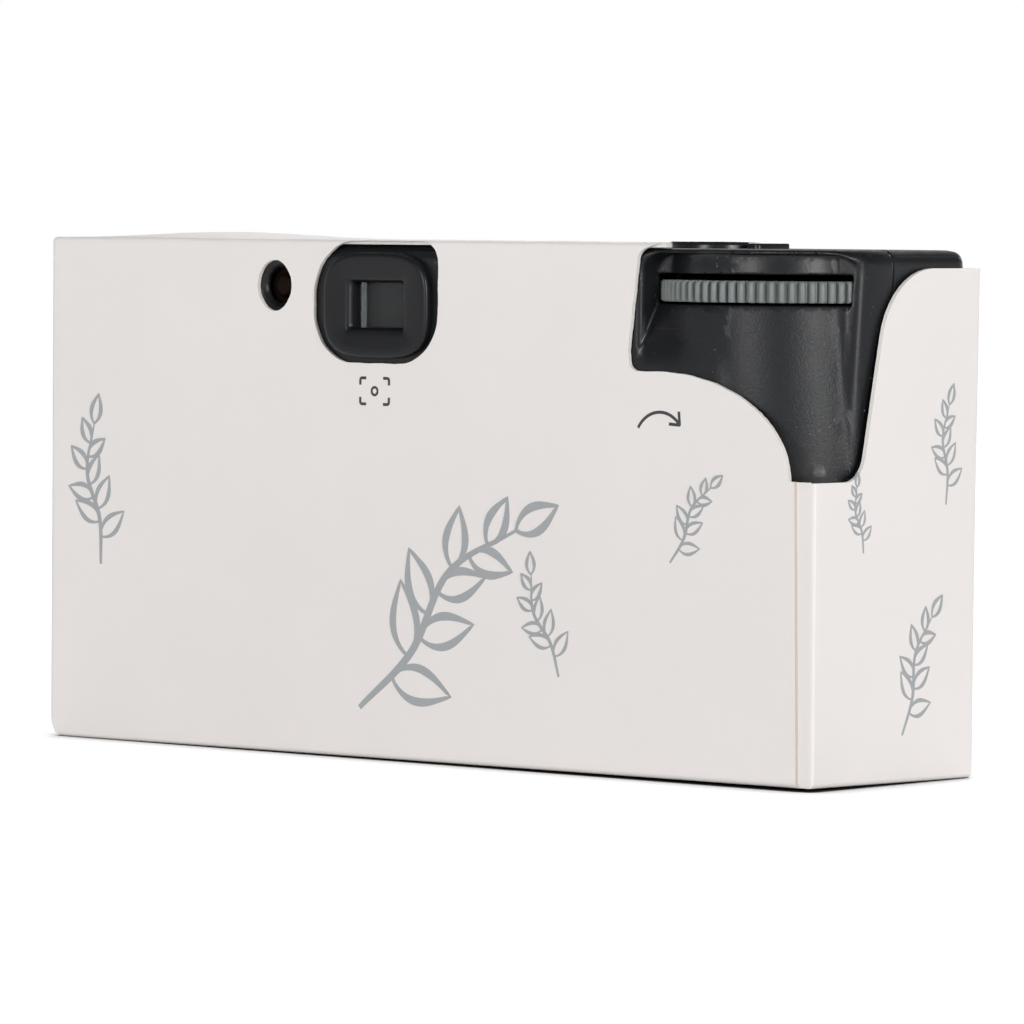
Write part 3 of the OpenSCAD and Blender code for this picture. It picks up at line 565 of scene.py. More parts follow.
# Slot of the wheel, and the recess round it with its ramp, panel, cone and cheek
SLOT_Z = (WHEEL_HIGH[2] - 3.1, WHEEL_HIGH[2] + 0.3)
SLOT_R = WHEEL_R + 0.15
RECESS_X = WHEEL[0] - 9.2
RECESS_Z = (SLOT_Z[0] - 17.6, TOP_Z - 0.6)
RECESS_FLARE = math.radians(8)
RECESS_RIGHT = 0.75
RAMP_X = (RECESS_X, WHEEL[0] + 2.5)
RAMP_FOOT_Z = (TOP_Z - 11.7, TOP_Z - 12.6)
RAMP_DEPTH = (2.76, 0.85)
PANEL_X = WHEEL[0] - 7.6
PANEL_DEPTH = 3.0
PANEL_SLANT = math.radians(15)
PANEL_LEAN = 0.06
PANEL_LEAN_Z = 50.0
CONE_R = (15.0, 13.2)
CHEEK = (WHEEL[0] + 11.86, WHEEL[1] - 5.79)
CHEEK_TURN = math.radians(36)
CHEEK_RISE = 0.064
CHEEK_X = WHEEL[0] + 8
# Holes of the rear cover, the film chamber and the shutter button
WINDOW_HOLE = (8.4, 5.4)
LAMP_HOLE_R = 2.05
LAMP_SUNK = 0.75
LAMP_SLOPE = 0.8
LAMP_FLARE = 0.7
CHAMBER_R = 12.8
CHAMBER_Z = (1.8, 45.1)
BUTTON_R = 5.6
BUTTON_ROOM = 0.3
BUTTON_FLANGE_R = 6.4
BUTTON_X = BUTTON_HIGH[0] - BUTTON_FLANGE_R
# Lens housing and the openings of the front cover; each bore as (radius, from which Y)
HOUSING_R = 13.0
HOUSING_DRAFT = 0.12
HOUSING_SUNK = 1.1
HOUSING_GROOVES = (11.6, 10.9)
GROOVE_R = 0.18
DISH_R = 6.9
DISH_DEPTH = 1.5
DISH_FLARE = 2.4
DISH_WIDEST = 9
LENS_BORES = ((6.25, 17.2), (4.05, 15.0), (3.4, 0.0))
FLASH_HOLE = (22.2, 14.2)
FINDER_HOLE = (8.4, 6.4)
FLASH_PRESS_R = 4.5
COUNTER_HALF = (4.5, 3.0)
# Roundings of moulded edges: most of them first, then those with a size of their own
MOULD_EDGE = 0.3
PARTING_EDGE = 0.16
SLOT_EDGE = 0.25
RECESS_EDGE = 0.8
RECESS_TOP_EDGE = 2.2
RECESS_RIGHT_EDGE = 3.0
HOUSING_EDGE = 0.7
HOUSING_FOOT = 0.8
DISH_EDGE = 0.4
PRESS_EDGE = 0.4
FINDER_EDGE = 0.8
# Holes through a wall reach in to this far from the middle, those in the top this far down
HOLE_END_Y = 5.0
BUTTON_HOLE_DOWN = 2.0
COUNTER_HOLE_DOWN = 3.0


# Distances to the covers' faces, in millimetres, negative inside
def soft_max(a, b, k):
    """The larger of two distances, with their edge rounded over about k"""
    near = np.maximum(k - np.abs(a - b), 0) / k
    return np.maximum(a, b) + near * near * k / 4


def soft_cut(a, b, k):
    """A solid less another, with the rim rounded"""
    return soft_max(a, -b, k)


def slab(p, low, high):
    """Distance to the space between two parallel planes"""
    return np.abs(p - (low + high) / 2) - (high - low) / 2


def rounded_pair(a, b, r):
    """Where two solids meet, with a true arc of radius r along the edge"""
    u, v = a + r, b + r
    return np.minimum(np.maximum(u, v), 0) + np.hypot(np.maximum(u, 0), np.maximum(v, 0)) - r


def plate(x, z, centre, width, height, r):
    """Distance to an endless rounded bar along Y"""
    return rounded_pair(np.abs(x - centre[0]) - width / 2, np.abs(z - centre[2]) - height / 2, r)


def body_distance(x, y, z):
    """Outer form of both covers together"""
    mould = settings().mould
    wide = (x > 0) & (y < 0)
    r = np.where(wide, mould.corner / MM, mould.side / MM)
    plan = rounded_pair(np.abs(x) - HALF_W, np.abs(y) - HALF_D, r)
    return rounded_pair(plan, slab(z, BASE_Z, TOP_Z), mould.edge / MM)


def from_wheel(x, y):
    """Distance from the axis of the wheel"""
    return np.hypot(x - WHEEL[0], y - WHEEL[1])


def panel_y(x, z):
    """Face of the slanted panel behind the wheel"""
    return (-HALF_D + PANEL_DEPTH + (x - PANEL_X) * math.tan(PANEL_SLANT)
            + (z - PANEL_LEAN_Z) * PANEL_LEAN)


def cone_r(z):
    """Radius of the cone below the wheel"""
    t = (z - RECESS_Z[0]) / (SLOT_Z[0] - RECESS_Z[0])
    return CONE_R[0] + (CONE_R[1] - CONE_R[0]) * t


def cheek_distance(x, y, z):
    """Distance to the plane on the right of the cone, positive outside it"""
    return ((x - CHEEK[0]) * math.sin(CHEEK_TURN) - (y - CHEEK[1]) * math.cos(CHEEK_TURN)
            - (SLOT_Z[0] - z) * CHEEK_RISE)


def ramp_y(x, z):
    """Face of the ramp that leans in from the rear face up to the slot, less and less towards the cone"""
    t = np.clip((x - RAMP_X[0]) / (RAMP_X[1] - RAMP_X[0]), 0, 1)
    foot = RAMP_FOOT_Z[0] + (RAMP_FOOT_Z[1] - RAMP_FOOT_Z[0]) * t
    depth = RAMP_DEPTH[0] + (RAMP_DEPTH[1] - RAMP_DEPTH[0]) * t
    return -HALF_D + depth * (z - foot) / (SLOT_Z[0] - foot)


def recess_distance(x, y, z):
    """Hollow in the rear cover round the wheel, with its cone and ramp left standing"""
    lean = math.tan(RECESS_FLARE) * (y - panel_y(RECESS_X, PANEL_LEAN_Z))
    left = (RECESS_X + lean - x) * math.cos(RECESS_FLARE)
    right = x - (HALF_W - RECESS_RIGHT)
    mouth = soft_max(soft_max(left, z - RECESS_Z[1], RECESS_TOP_EDGE), right, RECESS_RIGHT_EDGE)
    mouth = soft_max(mouth, (y - panel_y(x, z)) * math.cos(PANEL_SLANT), MOULD_EDGE)
    mouth = np.maximum(mouth, RECESS_Z[0] - z)
    beside_cone = (x > CHEEK_X) & (z < SLOT_Z[1] - 1)
    mouth = np.where(beside_cone, soft_max(mouth, -cheek_distance(x, y, z), MOULD_EDGE), mouth)
    mouth = soft_cut(mouth, from_wheel(x, y) - cone_r(z), MOULD_EDGE)
    return soft_cut(mouth, np.maximum((ramp_y(x, z) - y) * 0.9, x - RAMP_X[1]), MOULD_EDGE)


def shared_holes(x, y, z):
    """Room for the wheel and for the shutter button, in both covers"""
    room = np.maximum(from_wheel(x, y) - SLOT_R, slab(z, *SLOT_Z))
    button = np.maximum(np.hypot(x - BUTTON_X, y) - BUTTON_R - BUTTON_ROOM, TOP_Z - BUTTON_HOLE_DOWN - z)
    return np.minimum(room, button)


def rear_distance(x, y, z):
    """Rear cover"""
    wall = settings().mould.wall / MM
    outer = soft_cut(body_distance(x, y, z), recess_distance(x, y, z), RECESS_EDGE)
    cover = np.abs(outer + wall / 2) - wall / 2
    chamber = np.maximum(from_wheel(x, y) - CHAMBER_R, slab(z, *CHAMBER_Z))
    cover = soft_cut(np.maximum(cover, -chamber), shared_holes(x, y, z), SLOT_EDGE)
    cover = np.maximum(cover, -np.maximum(plate(x, z, FINDER, *WINDOW_HOLE, MOULD_EDGE), y + HOLE_END_Y))
    lamp = np.hypot(x - LAMP[0], z - LAMP[2])
    flare = np.clip((-HALF_D + LAMP_SUNK - y) * LAMP_SLOPE, 0, LAMP_FLARE)
    sunk = np.maximum(lamp - LAMP_HOLE_R - flare, y + HOLE_END_Y)
    return rounded_pair(soft_cut(cover, sunk, MOULD_EDGE), y, PARTING_EDGE)


def front_distance(x, y, z):
    """Front cover with its lens housing"""
    wall = settings().mould.wall / MM
    outer = body_distance(x, y, z)
    cover = np.abs(outer + wall / 2) - wall / 2
    ring = np.hypot(x - LENS[0], z - LENS[2])
    face = FRONT_HIGH[1]
    draft = np.clip((y - HALF_D) * HOUSING_DRAFT, 0, 1)
    housing = rounded_pair(ring - HOUSING_R + draft, slab(y, HALF_D - HOUSING_SUNK, face), HOUSING_EDGE)
    cover = -soft_max(-cover, -housing, HOUSING_FOOT)
    floor_y = face - DISH_DEPTH
    dish = np.maximum(ring - DISH_R - np.clip((y - floor_y) * DISH_FLARE, 0, DISH_WIDEST), floor_y - y)
    cover = soft_cut(cover, dish, DISH_EDGE)
    for radius, depth in LENS_BORES:
        cover = np.maximum(cover, -np.maximum(ring - radius, depth - y))
    for groove in HOUSING_GROOVES:
        cover = np.maximum(cover, GROOVE_R - np.hypot(ring - groove, y - face))
    cover = soft_cut(cover, shared_holes(x, y, z), MOULD_EDGE)
    cover = np.maximum(cover, -np.maximum(plate(x, z, FLASH, *FLASH_HOLE, MOULD_EDGE), HOLE_END_Y - y))
    cover = np.maximum(cover, -np.maximum(plate(x, z, FINDER, *FINDER_HOLE, FINDER_EDGE), HOLE_END_Y - y))
    press = np.hypot(x - FLASH_BUTTON[0], z - FLASH_BUTTON[2])
    cover = soft_cut(cover, np.maximum(press - FLASH_PRESS_R, HOLE_END_Y - y), PRESS_EDGE)
    count_x, count_y = np.abs(x - COUNTER_WINDOW[0]), np.abs(y - COUNTER_WINDOW[1])
    count = rounded_pair(count_x - COUNTER_HALF[0], count_y - COUNTER_HALF[1], MOULD_EDGE)
    cover = np.maximum(cover, -np.maximum(count, TOP_Z - COUNTER_HOLE_DOWN - z))
    return rounded_pair(cover, -y, PARTING_EDGE)


# Angle in degrees between a face and the distances' normal over which the face keeps its own
HARD = 32.0


def moulded_mesh(name, distance, low, high, finish):
    """A cover meshed from its distances on a grid, with the normals of the distances on its soft faces"""
    step = settings().mould.voxel / MM
    band = 3.0
    axes = [np.arange(a - 4 * step, b + 4 * step, step, dtype=np.float32) for a, b in zip(low, high)]
    x, y, z = np.ix_(*axes)
    field = distance(x, y, z).astype(np.float32)
    grid = openvdb.FloatGrid(background=band)
    grid.copyFromArray(np.clip(field / step, -band, band))
    points, triangles, quads = grid.convertToPolygons(isovalue=0.0, adaptivity=0.12)
    points = points.astype(float) * step + np.array([a[0] for a in axes])
    piece = shape(name, points, [*triangles.tolist(), *quads.tolist()], [finish])
    mesh = piece.data
    where = read(mesh.vertices, "co", 3) / MM
    soft = np.empty_like(where)
    for axis in range(3):
        nudge = np.eye(3)[axis] * 0.1
        soft[:, axis] = distance(*(where + nudge).T) - distance(*(where - nudge).T)
    soft /= np.maximum(np.linalg.norm(soft, axis=1, keepdims=True), 1e-9)
    corners = read(mesh.polygons, "loop_total", kind=np.int32)
    flat = np.repeat(read(mesh.polygons, "normal", 3), corners, axis=0)
    normals = soft[read(mesh.loops, "vertex_index", kind=np.int32)]
    hard = np.sum(normals * flat, axis=1) < math.cos(math.radians(HARD))
    normals[hard] = flat[hard]
    mesh.normals_split_custom_set(normals.tolist())
    return piece, where


# Share of spark grain on most faces, on the smooth ones and on the coarse ones
GRAIN_MOST, GRAIN_SMOOTH, GRAIN_COARSE = 0.45, 0.08, 1.0


def grain_of(where):
    """How much spark grain each point of a cover has: coarse on the cone, nearly none on ramp and cheek"""
    x, y, z = where.T
    grain = np.full(len(x), GRAIN_MOST)
    past_cone = from_wheel(x, y) - cone_r(z)
    cone = (np.abs(past_cone) < 0.3) & (z > RECESS_Z[0]) & (z < SLOT_Z[0])
    panel = np.abs(y - panel_y(x, z)) < 0.35
    flush = (x > RECESS_X - 1) & (x < RAMP_X[1]) & (y < -HALF_D + 3.2) & (z < SLOT_Z[0] + 0.1)
    cheek = (x > CHEEK_X) & (past_cone < 3) & (np.abs(cheek_distance(x, y, z)) < 0.3)
    grain[flush | cheek | panel & (z < SLOT_Z[0])] = GRAIN_SMOOTH
    grain[cone | panel & (z > SLOT_Z[1])] = GRAIN_COARSE
    return grain


# Fine raised lines on the ramp, as (right, up)
RAMP_LINES = (((WHEEL[0] - 8.5, 50.45), (WHEEL[0] - 2.0, 50.45), (WHEEL[0] - 2.0, 51.25)),
              ((WHEEL[0] - 4.3, 49.15), (WHEEL[0] + 1.0, 49.15)))


# Guard beside the button: from the flange to its middle, and (rise above the top, inset) of its rings
GUARD_GAP = 0.7
GUARD_SIZE = np.array([2.0, 6.0])
GUARD_RINGS = ((-0.4, 0), (0.45, 0), (0.6, 0.12), (0.68, 0.4))


def dense_line(knots, step=0.4):
    """An open line with points at most a step apart"""
    points = [np.array(knots[0], float)]
    for a, b in zip(np.array(knots[:-1], float), np.array(knots[1:], float)):
        count = max(1, math.ceil(np.linalg.norm(b - a) / step))
        points.extend(a + (b - a) * i / count for i in range(1, count + 1))
    return np.array(points)


class FILMCAMERA_OT_covers(bpy.types.Operator):
    """Adds the rear and the front cover, the fine lines on the ramp and the button's guard"""

    bl_idname = "film_camera.covers"
    bl_label = "Covers"

    def execute(self, context):
        finish = material("moulded_black", moulded)
        matt = material("moulded_top", plain_plastic(settings().mould.plastic, 0.66, 0.00004, 0.08))
        for node, distance, low, high in (("rear_cover", rear_distance, REAR_LOW, REAR_HIGH),
                                          ("front_cover", front_distance, FRONT_LOW, FRONT_HIGH)):
            piece, where = moulded_mesh(node + "_shell", distance, low, high, finish)
            piece.data.materials.append(matt)
            upward = read(piece.data.polygons, "normal", 3)[:, 2]
            piece.data.polygons.foreach_set("material_index", (upward > 0.6).astype(np.int32))
            stored = piece.data.attributes.new("grain", "FLOAT", "POINT")
            stored.data.foreach_set("value", grain_of(where).astype(np.float32))
            settle(piece, "camera", "black_plastic", node)
        guard_at = (BUTTON_HIGH[0] + GUARD_GAP, 0)
        guard = [level(rectangle(*GUARD_SIZE - inset, 0.7, 5) + guard_at, TOP_Z + rise)
                 for rise, inset in GUARD_RINGS]
        settle(shape("button_guard", *loft(guard), [finish]), "camera", "black_plastic")
        points, faces = gather([stroke(dense_line(path), 0.2, 0.07) for path in RAMP_LINES])
        x, z, out = np.array(points).T
        laid = np.stack([x, ramp_y(x, z) - out, z], 1)
        line_black = material("line_black", plain_plastic((0.012, 0.012, 0.014), 0.3))
        settle(shape("ramp_lines", laid, faces, [line_black]), "camera", "black_plastic")
        return {"FINISHED"}


# Bulges of the sleeve: the hump's middle and half width, the flap's flare, how far toe and lift reach,
# and the heights at which the lattice has rows more for the toe
HUMP_X, HUMP_HALF = -42.0, 16.0
FLARE = 0.5
TOE_HIGH, TOE_WIDE = 2.4, 8.0
TOE_PLACES = (1.6, 2.2)
LIFT_WIDE, LIFT_FROM = 4.0, 8.0
# Within this of a panel's plane, a point belongs to the panel
PANEL_NEAR = 1.5
# Half the width of the lattice strip that makes the seam's step, and over how far the slant fades
SEAM_HALF, SEAM_FADE = 0.03, 4.0
# Spacing of the sleeve's lattice along X, Y and Z
LATTICE = (4.0, 3.0, 3.0)


def fold_places(low, high, radius, spacing, extra=()):
    """Lattice places along one side of the sleeve: close together in the folds, even between them"""
    arc = [radius * (1 - math.tan(math.radians(45 - 9 * i))) for i in range(6)]
    between = np.linspace(low + radius, high - radius, max(2, round((high - low) / spacing)))
    support = [low + radius + 0.4, high - radius - 0.4]
    return np.array(sorted({*(low + a for a in arc), *(high - a for a in arc),
                            *between[1:-1], *support, *extra}))


def paper_bend(points):
    """The board bulges a little: a hump on the top, bellied sides, a flared flap, a raised lower edge"""
    paper = settings().paper
    p = np.array(points, float)
    x, y, z = p.T
    low, high = SLEEVE_LOW, SLEEVE_HIGH
    across = np.clip((y - low[1]) / (high[1] - low[1]), 0, 1)
    upward = np.clip((z - low[2]) / (high[2] - low[2]), 0, 1)
    window = np.cos(np.clip((x - HUMP_X) / HUMP_HALF, -1, 1) * math.pi / 2) ** 2
    hump = paper.hump / MM * window * np.sin(across * math.pi) ** 0.8
    belly = paper.belly / MM * np.sin(upward * math.pi) * np.sin(across * math.pi)
    near_top = np.clip(z - high[2] + PANEL_NEAR, 0, 1)
    near_left = np.clip(low[0] + PANEL_NEAR - x, 0, 1)
    near_right = np.clip(x - high[0] + PANEL_NEAR, 0, 1)
    near_base = np.clip(low[2] + PANEL_NEAR - z, 0, 1)
    edge = np.maximum(np.clip((low[1] + LIFT_WIDE - y) / LIFT_WIDE, 0, 1),
                      np.clip((x - high[0] + LIFT_WIDE) / LIFT_WIDE, 0, 1) * (1 - across))
    rightward = np.clip((x - low[0] - LIFT_FROM) / (high[0] - low[0] - LIFT_FROM), 0, 1)
    toe = 1 - np.sqrt(1 - np.clip(1 - (z - low[2]) / TOE_HIGH, 0, 1) ** 2)
    p[:, 0] += paper.toe / MM * toe * np.clip(1 - (x - low[0]) / TOE_WIDE, 0, 1)
    p[:, 2] += hump * near_top + paper.lift / MM * near_base * edge * rightward ** 0.8
    p[:, 0] += near_right * (belly * 0.4 + FLARE * across * upward ** 2) - near_left * belly
    return p


def folded_board(low, high, radius, seam, step):
    """Lattice on a box with round folds, a step lower right of the seam, and which faces are the seam's"""
    extra = ((seam - SEAM_HALF, seam + SEAM_HALF), (), [low[2] + height for height in TOE_PLACES])
    xs, ys, zs = (fold_places(low[i], high[i], radius, LATTICE[i], extra[i]) for i in range(3))
    size = (len(xs), len(ys), len(zs))
    index, points, faces = {}, [], []

    def corner(i, j, k):
        if (i, j, k) not in index:
            index[i, j, k] = len(points)
            points.append((xs[i], ys[j], zs[k]))
        return index[i, j, k]

    for axis in range(3):
        a, b = (axis + 1) % 3, (axis + 2) % 3
        for end in (0, size[axis] - 1):
            for m in range(size[a] - 1):
                for n in range(size[b] - 1):
                    skin = []
                    for da, db in ((0, 0), (1, 0), (1, 1), (0, 1)):
                        at = [0, 0, 0]
                        at[axis], at[a], at[b] = end, m + da, n + db
                        skin.append(corner(*at))
                    faces.append(skin if end else skin[::-1])
    p = np.array(points)
    # Faces along the seam; they take the seam colour with its painted shade
    edge = np.all(np.abs(p[np.array(faces), 0] - seam) < SEAM_HALF + 0.01, axis=1)
    inner = np.clip(p, np.array(low) + radius, np.array(high) - radius)
    out = p - inner
    p = inner + out * radius / np.maximum(np.linalg.norm(out, axis=1, keepdims=True), 1e-9)
    lower = np.clip((low[1] + radius - p[:, 1]) / radius, 0, 1) * (p[:, 0] > seam)
    p[:, 1] += lower * step
    ahead = (high[0] - radius - p[:, 0]) / (high[0] - radius - seam)
    behind = (p[:, 0] - seam + SEAM_FADE) / SEAM_FADE
    near_seam = np.clip(np.minimum(ahead, behind), 0, 1) * (p[:, 1] < low[1] + radius)
    upward = np.clip((p[:, 2] - low[2]) / (high[2] - low[2]), 0, 1)
    p[:, 0] -= settings().paper.seam_slant / MM * near_seam * upward
    return paper_bend(p), faces, edge


def prism(outline, way, low, high, wobble=0.0):
    """A cutter from an outline through one panel, its edge a little uneven as a die cuts board"""
    edge = np.array(outline, float)
    run = np.cumsum(np.linalg.norm(np.diff(edge, axis=0, prepend=edge[:1]), axis=1))
    edge = edge + wobble * np.stack([np.sin(run * 1.9) + 0.5 * np.sin(run * 6.1 + 1.0),
                                     np.sin(run * 1.6 + 2.0) + 0.5 * np.sin(run * 5.3)], 1)
    order = {"x": (2, 0, 1), "y": (0, 2, 1), "z": (0, 1, 2)}[way]
    return loft([level(edge, at)[:, order] for at in (low, high)])


def dense(outline, step=0.3):
    """An outline with points about a step apart"""
    points = []
    for a, b in zip(outline, np.roll(outline, -1, axis=0)):
        count = max(1, int(np.linalg.norm(b - a) / step))
        points.extend(a + (b - a) * i / count for i in range(count))
    return np.array(points)


# Depth of the cut-outs at the wheel corner below the sleeve's top, and of the flap below the cover's top
CORNER_DOWN = 26.0
ARC_DOWN = 14.3
FLAP_DOWN = 2.0
FRONT_CUT_W = 10.0
# How far the cutters pass the board's outer edges
PAST = 3.0


def rear_cut():
    """Edge of the board on the rear panel round the wheel: upright on the left, then a quarter ellipse"""
    left, top = WHEEL[0] - 10.7, SLEEVE_HIGH[2]
    low_z, arc_x, arc_z = top - CORNER_DOWN, left + 4.3, top - ARC_DOWN
    path = rounded([(left + 4.9, top + PAST, 0), (left + 4.6, top + 0.1, 1.0), (left + 1.4, top - 0.9, 1.6),
                    (left, top - 12.2, 1.6), (left + 0.3, arc_z, 1.3), (arc_x, arc_z, 0)], closed=False)
    turn = np.radians(np.linspace(90, 0, 24))
    wide = HALF_W - 2.8 - arc_x
    arc = np.stack([arc_x + wide * np.cos(turn), low_z + (arc_z - low_z) * np.sin(turn)], 1)
    return np.concatenate([path, arc[1:], [(HALF_W + PAST, low_z), (HALF_W + PAST, top + PAST)]])


def side_cut():
    """Edge of the board on the right side, from the rear fold up round to the flap"""
    low_z, flap_z, top = SLEEVE_HIGH[2] - CORNER_DOWN - 0.1, TOP_Z - FLAP_DOWN, SLEEVE_HIGH[2] + PAST
    rear, front = -HALF_D - PAST, HALF_D + PAST
    return rounded([(rear, top, 0), (rear, low_z, 0), (-6.4, low_z, 3.4), (-1.3, flap_z, 9.5),
                    (front, flap_z, 0), (front, top, 0)], 10)


def top_cut():
    """Edge of the board on the top, round the shutter button"""
    rear_x, front_x, right = WHEEL[0] - 5.9, WHEEL[0] - 17.0, HALF_W + PAST
    rear, front = -HALF_D - PAST, HALF_D + PAST
    return rounded([(rear_x, rear, 0), (rear_x, -HALF_D + 1.5, 1.5), (front_x, -6.0, 5.0),
                    (front_x, front, 0), (right, front, 0), (right, rear, 0)], 8)


def front_cut():
    """Edge of the board on the front panel, level with the flap at the wheel corner"""
    left, right = HALF_W - FRONT_CUT_W, HALF_W + PAST
    flap_z, top = TOP_Z - FLAP_DOWN, SLEEVE_HIGH[2] + PAST
    return rounded([(left, top, 0), (left, flap_z, 2.0), (right, flap_z, 0), (right, top, 0)], 8)


def oval(centre, width, height, steps=72):
    """Outline of an ellipse"""
    turn = np.linspace(0, 2 * math.pi, steps, endpoint=False)
    return np.stack([centre[0] + width / 2 * np.cos(turn), centre[1] + height / 2 * np.sin(turn)], 1)


# Width and height of the cut-outs in the sleeve
FINDER_CUT = (19.1, 14.1)
LAMP_CUT = (5.3, 5.9)
LENS_CUT = (28.2, 28.2)
PRESS_CUT = (10.6, 10.6)
FLASH_CUT = (24.2, 16.2)
GLASS_CUT = (10.0, 8.0)
COUNTER_CUT = (9.4, 6.4)
# How far a cutter starts inside the board and ends outside it, and how uneven a die leaves an edge
CUT_FROM, CUT_TO = -0.05, 4.0
UNEVEN = 0.025


def sleeve_cutters():
    """Outlines of all cut-outs with the panel that each goes through"""
    rear = (-HALF_D - CUT_TO, -HALF_D - CUT_FROM)
    front = (HALF_D + CUT_FROM, HALF_D + CUT_TO)
    above = (TOP_Z + CUT_FROM, TOP_Z + CUT_TO)
    wide, high = FINDER_CUT[0] / 2, FINDER_CUT[1] / 2
    finder = rounded([(wide, -high, 6.0), (wide, high, 2.4), (-wide, high, 6.4), (-wide, -high, 6.0)], 16)
    finder = finder + (FINDER[0] - 0.5, FINDER[2] + 0.35)
    flash = rectangle(*FLASH_CUT, 1.2) + FLASH[[0, 2]]
    glass = rectangle(*GLASS_CUT, 1.0) + FINDER[[0, 2]]
    count = rectangle(*COUNTER_CUT, 0.8) + COUNTER_WINDOW[:2]
    yield prism(dense(rear_cut()), "y", *rear, UNEVEN)
    yield prism(front_cut(), "y", *front)
    yield prism(side_cut(), "x", HALF_W + CUT_FROM, HALF_W + CUT_TO)
    yield prism(top_cut(), "z", *above)
    yield prism(dense(finder), "y", *rear, UNEVEN)
    yield prism(oval(LAMP[[0, 2]], *LAMP_CUT), "y", *rear, 0.03)
    yield prism(oval(LENS[[0, 2]], *LENS_CUT), "y", *front)
    yield prism(oval(FLASH_BUTTON[[0, 2]], *PRESS_CUT), "y", *front)
    yield prism(flash, "y", *front)
    yield prism(glass, "y", *front)
    yield prism(count, "z", *above)


def cut_out(piece, tool):
    """Cuts a closed tool out of a piece; the new faces take the tool's place in the list of finishes"""
    cut = piece.modifiers.new("cut", "BOOLEAN")
    cut.operation = "DIFFERENCE"
    cut.solver = "EXACT"
    cut.object = tool
    done = evaluated(piece)
    piece.modifiers.clear()
    old, piece.data = piece.data, done
    bpy.data.meshes.remove(old)
    bpy.data.meshes.remove(tool.data)


class FILMCAMERA_OT_sleeve(bpy.types.Operator):
    """Adds the folded and cut paperboard sleeve"""

    bl_idname = "film_camera.sleeve"
    bl_label = "Sleeve"

    def execute(self, context):
        paper = settings().paper
        board, fold = paper.board / MM, paper.fold / MM
        # The third finish is the seam colour: the cut edge's tone with painted shade of the step
        finishes = [material("card_face", card_face), material("card_core", card_core),
                    material("card_seam_and_shade", printed(paper.glue, 0.8))]
        seam = SLEEVE_HIGH[0] - paper.seam_in / MM
        outer = folded_board(SLEEVE_LOW, SLEEVE_HIGH, fold, seam, paper.seam_step / MM)
        inner = folded_board(SLEEVE_LOW + board, SLEEVE_HIGH - board, fold - board, seam, 0.0)
        points, faces = gather([outer[:2], (inner[0], [skin[::-1] for skin in inner[1]])])
        picks = np.concatenate([np.where(outer[2], 2, 0), np.ones(len(inner[1]), int)])
        piece = shape("sleeve_board", points, faces, finishes, picks, turn=False)
        for outline in sleeve_cutters():
            tool = shape("tool", *outline, finishes, [1] * len(outline[1]))
            cut_out(piece, tool)
        smooth(piece.data, 30)
        settle(piece, "camera", "paperboard", "sleeve")
        return {"FINISHED"}


# Print
def smooth_path(knots, count=40):
    """A smooth curve through knots"""
    k = np.array(knots, float)
    k = np.concatenate([[2 * k[0] - k[1]], k, [2 * k[-1] - k[-2]]])
    points = []
    for i in range(1, len(k) - 2):
        t = np.linspace(0, 1, count // (len(k) - 3), endpoint=False)[:, None]
        a, b, c, d = k[i - 1], k[i], k[i + 1], k[i + 2]
        points.append(0.5 * (2 * b + (c - a) * t + (2 * a - 5 * b + 4 * c - d) * t ** 2
                             + (3 * b - a - 3 * c + d) * t ** 3))
    return np.concatenate([*points, [k[-2]]])


def stroke(path, width, lift=0.015, sink=0.05):
    """A pen stroke along a path as a thin closed strip (right, up, out) that rises a little to its end"""
    along = np.gradient(path, axis=0)
    along /= np.linalg.norm(along, axis=1, keepdims=True)
    across = np.stack([-along[:, 1], along[:, 0]], 1)
    half = np.asarray(width, float) / 2
    rings = []
    for i, (point, side, h) in enumerate(zip(path, across, np.broadcast_to(half, len(path)))):
        left, right, rise = point + side * h, point - side * h, lift + 0.004 * i / len(path)
        rings.append([(*left, rise), (*right, rise), (*right, -sink), (*left, -sink)])
    return loft(rings)


def leaf(root, angle, length, width, pen, lift):
    """Outline of a leaf in one pen stroke from its root to the tip and back"""
    t = np.linspace(0, 1, 15)
    bulge = width / 2 * np.sin(math.pi * t ** 0.8)
    up = np.stack([length * t, bulge], 1)
    back = np.stack([length * t, -bulge], 1)[::-1]
    path = spun(np.concatenate([up, back[1:]]), angle) + root
    swell = 0.45 + 0.55 * np.sin(np.linspace(0, 2 * math.pi, len(path))) ** 2
    return stroke(path, pen * swell, lift)


def sprig(root, turn, size, pen, pairs=4):
    """A bent stem with leaves on alternate sides and one at the tip"""
    knots = np.array([(0, 0), (0.06, 0.30), (0.02, 0.62), (0.16, 0.92)]) * size
    stem = spun(smooth_path(knots, 45), turn) + root
    taper = 0.35 + 0.65 * np.sin(np.linspace(0.15, 1, len(stem)) * math.pi)
    parts = [stroke(stem, pen * taper)]
    for i in range(pairs * 2):
        at = int((0.22 + 0.66 * i / (pairs * 2 - 1)) * (len(stem) - 1))
        heading = math.atan2(*(stem[min(at + 1, len(stem) - 1)] - stem[at - 1])[::-1])
        lean = math.radians(52 - 14 * i / (pairs * 2)) * (1 if i % 2 else -1)
        reach = size * (0.27 - 0.10 * i / (pairs * 2))
        parts.append(leaf(stem[at], heading + lean, reach, reach * 0.42, pen, 0.02 + 0.005 * i))
    heading = math.atan2(*(stem[-1] - stem[-2])[::-1])
    parts.append(leaf(stem[-1], heading, size * 0.2, size * 0.085, pen, 0.02 + 0.01 * pairs))
    return parts


def on_panel(parts, panel):
    """Printed strokes laid on a panel of the sleeve, following its bulge"""
    points, faces = gather(parts)
    u, v, w = np.array(points).T
    laid = {"rear": (u, SLEEVE_LOW[1] - w, v), "front": (-u, SLEEVE_HIGH[1] + w, v),
            "right": (SLEEVE_HIGH[0] + w, u, v), "left": (SLEEVE_LOW[0] - w, -u, v)}[panel]
    return paper_bend(np.stack(laid, 1)), faces


